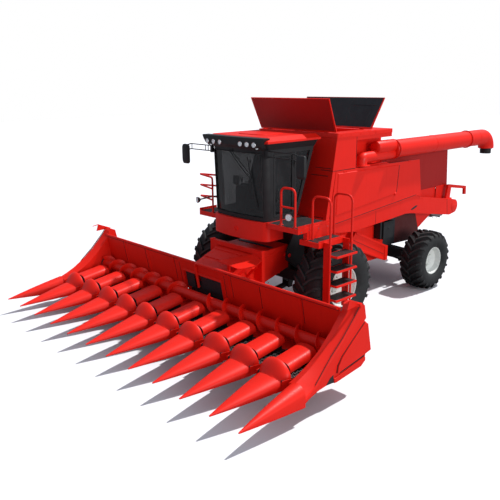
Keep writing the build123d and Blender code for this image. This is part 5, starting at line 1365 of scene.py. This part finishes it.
class HARVESTER_OT_unloader(bpy.types.Operator):
    """Builds the unloading tube on its feed pipe, with flanges, seams, bands and the boot's folds"""
    bl_idname = "harvester.unloader"
    bl_label = "Unloading tube"

    def execute(self, context):
        sizes = context.scene.harvester_sizes
        plate = Forge()
        plate.box((-1.80, -1.44), (0.86, 1.218), (3.3703, 3.382))
        plate.turned((-1.62, TUBE_Y, 3.381), UP, [(0.0, 0.190), (0.020, 0.190), (0.026, 0.150)], 40)
        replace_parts(plate.done("turret_plate", "red", "unloader", 0.002), "unload_turret")
        tube, seams, bands = Forge(), Forge(), Forge()
        tube.tube([(-1.60, TUBE_Y, 3.384), (-1.60, TUBE_Y, 3.565), (TUBE_START, TUBE_Y, 3.575)], 0.128, 0.15,
                  32)
        tube.turned((TUBE_START, TUBE_Y, 3.765), FORWARD,
                    [(0.0, 0.160), (0.69, 0.160), (0.725, 0.148), (0.745, 0.120), (0.752, 0.06)], 36)
        tube.turned((TUBE_START + 0.005, TUBE_Y, TUBE_Z), FORWARD,
                    [(-0.04, TUBE_RADIUS), (0.0, TUBE_RADIUS), (0.03, 0.205), (0.045, 0.170)], 48)
        bend_radius = 0.32
        turns = [radians(degrees) for degrees in range(0, 91, 10)]
        bend = [(SPOUT_X + bend_radius - bend_radius * sin(turn), TUBE_Y,
                 TUBE_Z - bend_radius + bend_radius * cos(turn))
                for turn in turns]
        tube.tube([(TUBE_START, TUBE_Y, TUBE_Z)] + bend + [(SPOUT_X, TUBE_Y, 3.35)], TUBE_RADIUS, 0.0, 48)
        heads = []
        for x in TUBE_FLANGES:
            centre = (x, TUBE_Y, TUBE_Z)
            ring_band(tube, (x - 0.014, TUBE_Y, TUBE_Z), FORWARD, 0.028, FLANGE_RADIUS, 0.20)
            # Painted shade: a dark ring at each flange's joint.
            ring_band(seams, (x - 0.004, TUBE_Y, TUBE_Z), FORWARD, 0.008, FLANGE_RADIUS + 0.0015,
                      TUBE_RADIUS - 0.002)
            heads += [((x + 0.012, point.y, point.z), FORWARD)
                      for point in circle(centre, FORWARD, 0.234, 14)]
        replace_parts(tube.done("tube_skin", "red", "unloader"), "unload_tube")
        seams.done("tube_seams", "seam", "unloader")
        for x, length, outer in ((-6.90, 0.03, 0.2255), (-4.60, 0.05, 0.2265)):
            ring_band(bands, (x, TUBE_Y, TUBE_Z), FORWARD, length, outer, 0.2210)
        bands.done("tube_bands", "red", "unloader", 0.001)
        bolts("tube_bolts", heads, "red", "unloader", sizes.small_bolt)
        folds = Forge()
        for z in (3.215, 3.245, 3.275, 3.305):
            folds.tube(circle((SPOUT_X, TUBE_Y, z), UP, 0.153, 36), 0.009, 0.0, 8, True)
        ring_band(folds, (SPOUT_X, TUBE_Y, 3.335), UP, 0.022, 0.190, 0.184, 40)
        folds.done("boot_folds", "boot", "unloader")
        return {"FINISHED"}


class HARVESTER_OT_rear(bpy.types.Operator):
    """Adds the right side's air screen with its slats, the service lids and the bolts of the rear hood"""
    bl_idname = "harvester.rear"
    bl_label = "Rear hood"

    def execute(self, context):
        sizes = context.scene.harvester_sizes
        wall, right = 0.970, SIDES["right"]
        screens, frames = Forge(), Forge()
        screens.box((-4.95, -3.95), flank(right, wall, wall + 0.006), (2.62, 3.20))
        for x, z in (((-4.99, -3.91), (3.20, 3.24)), ((-4.99, -3.91), (2.58, 2.62)),
                     ((-4.99, -4.95), (2.62, 3.20)), ((-3.95, -3.91), (2.62, 3.20))):
            frames.box(x, flank(right, wall, wall + 0.022), z)
        start = ((-4.45, right * (wall + 0.010), 2.645), UP)
        tree_of(bar_tree).grow("hood_slats_right", [start], "liner_and_shade", "chassis",
                               Step=(0.0, 0.0, sizes.slat_pitch),
                               Count=int(0.54 / sizes.slat_pitch) + 1, Size=(1.0, 0.010, 0.008))
        frames.box((-5.50, -5.20), flank(right, wall, wall + 0.010), (2.75, 3.05))
        frames.box((-5.30, -4.10), (-0.55, 0.55), (3.43, 3.452))
        screens.done("hood_screens", "liner_and_shade", "chassis")
        # Painted shade: the service lids and the hood's bolts take the rear hood's darker red.
        frames.done("hood_frames", "shade_red", "chassis", 0.003)
        heads = [((x, side * 0.971, z), (0, side, 0)) for side in (1, -1) for z in (2.47, 3.38)
                 for x in (-2.9, -3.5, -4.3, -5.1, -5.7) if not (z > 3 and x < -5.6)]
        bolts("hood_bolts", heads, "shade_red", "chassis", sizes.large_bolt)
        return {"FINISHED"}


class HARVESTER_OT_underside(bpy.types.Operator):
    """Adds the elevators' flanges, dark sheets of painted shade on the housing's walls, the battery lid and
    the final drives' covers
    """
    bl_idname = "harvester.underside"
    bl_label = "Axles and elevators"

    def execute(self, context):
        sizes = context.scene.harvester_sizes
        axle_height = AXLES["front"][2]
        flanges, seams, covers, liners, depths = Forge(), Forge(), Forge(), Forge(), Forge()
        heads = []
        for side in (1, -1):
            for (x_start, z_start), (x_end, z_end) in (((-1.51, 1.775), (-2.790, 1.205)),
                                                       ((-1.215, 1.512), (-2.64, 0.905))):
                for y in (side * 1.196, side * 0.964):
                    flanges.bar((x_start, y, z_start), (x_end, y, z_end), 0.016, 0.050)
            flanges.box((-2.815, -2.700), flank(side, 0.955, 1.205), (0.86, 1.235))
            # Painted shade: a dark line along the elevator's seam.
            seams.bar((-1.40, side * 1.1925, 1.62), (-2.68, side * 1.1925, 1.03), 0.004, 0.008)
            covers.turned((0.0, side * 1.10, axle_height), (0, side, 0),
                          [(0.0, 0.215), (0.04, 0.215), (0.055, 0.20), (0.10, 0.19)], 36)
            heads += [((point.x, side * 1.141, point.z), (0, side, 0))
                      for point in circle((0, 0, axle_height), LEFT, 0.206, 14)]
            # Painted shade: a black sheet and a dark-red sheet on the housing's inner wall stand for the shade
            # in the recess behind the elevators.
            wall = flank(side, 0.9505, 0.956)
            liners.slab([(-2.58, 1.93), (-2.58, 1.16), (-3.45, 1.127), (-3.45, 1.963)], wall, "Y")
            depths.slab([(-3.45, 1.963), (-3.45, 1.127), (-4.42, 1.09), (-4.62, 1.22), (-4.40, 1.80),
                         (-3.75, 1.94), (-3.50, 1.965)], wall, "Y")
        flanges.done("elevator_flanges", "red", "chassis", 0.002)
        seams.done("elevator_seams", "seam", "chassis")
        covers.done("final_drive_covers", "black", "chassis", 0.002)
        liners.done("housing_recess_shade", "liner_and_shade", "chassis", 0.001)
        depths.done("housing_depth_shade", "seam", "chassis", 0.001)
        # Painted shade: a dark-red wall, the body red as it looks in shade, at the housing's front.
        front = Forge()
        front.box((-0.470, -0.450), (-0.95, 0.95), (1.34, 2.10))
        front.done("housing_front_shade", "seam", "chassis", 0.001)
        lid = Forge()
        lid.box((-3.03, -2.59), (0.966, 1.208), (1.838, 1.862))
        lid.box((-3.012, -2.608), (1.199, 1.206), (1.44, 1.82))
        lid.bar((-2.84, 1.210, 1.70), (-2.78, 1.210, 1.70), 0.016, 0.03)
        lid.box((-2.56, -2.50), (0.98, 1.18), (1.44, 1.90))
        lid.done("battery_lid", "trim", "chassis", 0.004)
        bolts("axle_bolts", heads, "zinc", "chassis", sizes.large_bolt)
        return {"FINISHED"}


class HARVESTER_OT_spreaders(bpy.types.Operator):
    """Adds hubs and blade bolts to the two spreader discs"""
    bl_idname = "harvester.spreaders"
    bl_label = "Spreader discs"

    def execute(self, context):
        sizes = context.scene.harvester_sizes
        disc_x, down = -5.99, (0, 0, -1)
        for word, side in SIDES.items():
            body, y = "disc_" + word, side * 0.48
            hub = Forge()
            hub.turned((disc_x, y, 1.416), down,
                       [(-0.004, 0.075), (0.010, 0.075), (0.022, 0.050), (0.030, 0.030)], 24)
            hub.done(body + "_hub", "worn", body, 0.001)
            heads = [((point.x, point.y, 1.4195), down) for point in circle((disc_x, y, 0), UP, 0.24, 12)]
            bolts(body + "_bolts", heads, "zinc", body, sizes.panel_bolt)
        return {"FINISHED"}


CAMERA_AT = (10.347, 10.222, 5.3165)
CAMERA_AHEAD = (-0.6566, -0.7086, -0.2587)
CAMERA_RIGHT = (-0.7335, 0.6797, 0.0)
CAMERA_ROLL = -0.0105
CAMERA_LENS = 45.30
FLOOR_HALF, FLOOR_Z = 80, -0.002
KEY_WAY, SIDE_WAY = (0.505, -0.15, -0.85), (0.05, -0.98, -0.15)
SURROUND_COLOUR = (0.31, 0.335, 0.39, 1.0)


def make_camera():
    """Camera at the photograph's place."""
    ahead = Vector(CAMERA_AHEAD).normalized()
    side = Vector(CAMERA_RIGHT).normalized()
    up = side.cross(ahead).normalized()
    right = side * cos(CAMERA_ROLL) + up * sin(CAMERA_ROLL)
    top = up * cos(CAMERA_ROLL) - side * sin(CAMERA_ROLL)
    data = bpy.data.cameras.new("photo_camera")
    data.lens = CAMERA_LENS
    data.sensor_width = 36.0
    data.clip_end = 200.0
    camera = bpy.data.objects.new("photo_camera", data)
    turn = Matrix((right, top, -ahead)).transposed().to_4x4()
    camera.matrix_world = Matrix.Translation(at(*CAMERA_AT)) @ turn
    bpy.context.collection.objects.link(camera)
    bpy.context.scene.camera = camera


def make_lamp(name, direction, strength, angle):
    """Sun lamp that shines along a direction."""
    data = bpy.data.lights.new(name, "SUN")
    data.energy = strength
    data.angle = radians(angle)
    lamp = bpy.data.objects.new(name, data)
    lamp.rotation_euler = Vector(direction).to_track_quat("-Z", "Y").to_euler()
    lamp.location = at(0, 0, 12)
    bpy.context.collection.objects.link(lamp)


class HARVESTER_OT_stage(bpy.types.Operator):
    """Lays the pale floor and sets the lamps, the surround and the camera"""
    bl_idname = "harvester.stage"
    bl_label = "Stage"

    def execute(self, context):
        light = context.scene.harvester_light
        if light.show_floor:
            mesh = bpy.data.meshes.new("studio_floor")
            corners = [(-FLOOR_HALF, -FLOOR_HALF), (FLOOR_HALF, -FLOOR_HALF), (FLOOR_HALF, FLOOR_HALF),
                       (-FLOOR_HALF, FLOOR_HALF)]
            mesh.from_pydata([(x, y, FLOOR_Z) for x, y in corners], [], [(0, 1, 2, 3)])
            floor = bpy.data.objects.new("studio_floor", mesh)
            context.collection.objects.link(floor)
            shade = Shade("studio_floor")
            pale = shade.node("ShaderNodeBsdfDiffuse", Color=(0.90, 0.90, 0.92, 1.0))
            dim = shade.node("ShaderNodeBsdfDiffuse", Color=(0.26, 0.26, 0.27, 1.0))
            seen = shade.out(shade.node("ShaderNodeLightPath"), "Is Camera Ray")
            both = shade.node("ShaderNodeMixShader", _0=seen, _1=shade.out(dim), _2=shade.out(pale))
            shade.node("ShaderNodeOutputMaterial", Surface=shade.out(both))
            mesh.materials.append(shade.material)
        make_lamp("key_sun", KEY_WAY, light.key, 1.5)
        make_lamp("side_sun", SIDE_WAY, light.side, 30.0)
        world = bpy.data.worlds.new("surround")
        world.use_nodes = True
        context.scene.world = world
        sky = Graph(world.node_tree)
        lit = sky.node("ShaderNodeBackground", Color=SURROUND_COLOUR, Strength=light.surround)
        plain = sky.node("ShaderNodeBackground", Color=(1.0, 1.0, 1.0, 1.0), Strength=1.0)
        path = sky.node("ShaderNodeLightPath")
        seen = sky.math("MAXIMUM", sky.out(path, "Is Camera Ray"), sky.out(path, "Is Transmission Ray"))
        mix = sky.node("ShaderNodeMixShader", _0=seen, _1=sky.out(lit), _2=sky.out(plain))
        sky.node("ShaderNodeOutputWorld", Surface=sky.out(mix))
        context.scene.view_settings.view_transform = "Standard"
        make_camera()
        return {"FINISHED"}


OPERATORS = [
    HARVESTER_OT_paint, HARVESTER_OT_wheels, HARVESTER_OT_walkways, HARVESTER_OT_tank, HARVESTER_OT_shields,
    HARVESTER_OT_side_panels, HARVESTER_OT_cab, HARVESTER_OT_seat, HARVESTER_OT_lamps, HARVESTER_OT_mirrors,
    HARVESTER_OT_feeder, HARVESTER_OT_header_sheet, HARVESTER_OT_rows, HARVESTER_OT_end_shields,
    HARVESTER_OT_auger, HARVESTER_OT_unloader, HARVESTER_OT_rear, HARVESTER_OT_underside,
    HARVESTER_OT_spreaders, HARVESTER_OT_stage,
]


class HARVESTER_PT_panel(bpy.types.Panel):
    """Lists the sizes and the steps"""
    bl_label = "Combine harvester"
    bl_idname = "HARVESTER_PT_panel"
    bl_space_type = "VIEW_3D"
    bl_region_type = "UI"
    bl_category = "Harvester"

    def draw(self, context):
        for group in (context.scene.harvester_paint, context.scene.harvester_sizes,
                      context.scene.harvester_light):
            for name in group.bl_rna.properties.keys():
                if name not in ("rna_type", "name"):
                    self.layout.prop(group, name)
        for operator in OPERATORS:
            self.layout.operator(operator.bl_idname)


GROUPS = {"harvester_paint": HarvesterPaint, "harvester_sizes": HarvesterSizes,
          "harvester_light": HarvesterLight}


def register():
    for kind in [*GROUPS.values(), *OPERATORS, HARVESTER_PT_panel]:
        bpy.utils.register_class(kind)
    for name, kind in GROUPS.items():
        setattr(bpy.types.Scene, name, PointerProperty(type=kind))


def unregister():
    for name in GROUPS:
        delattr(bpy.types.Scene, name)
    for kind in reversed([*GROUPS.values(), *OPERATORS, HARVESTER_PT_panel]):
        bpy.utils.unregister_class(kind)


def main():
    register()
    for operator in OPERATORS:
        area, name = operator.bl_idname.split(".")
        getattr(getattr(bpy.ops, area), name)()


if __name__ == "__main__":
    main()
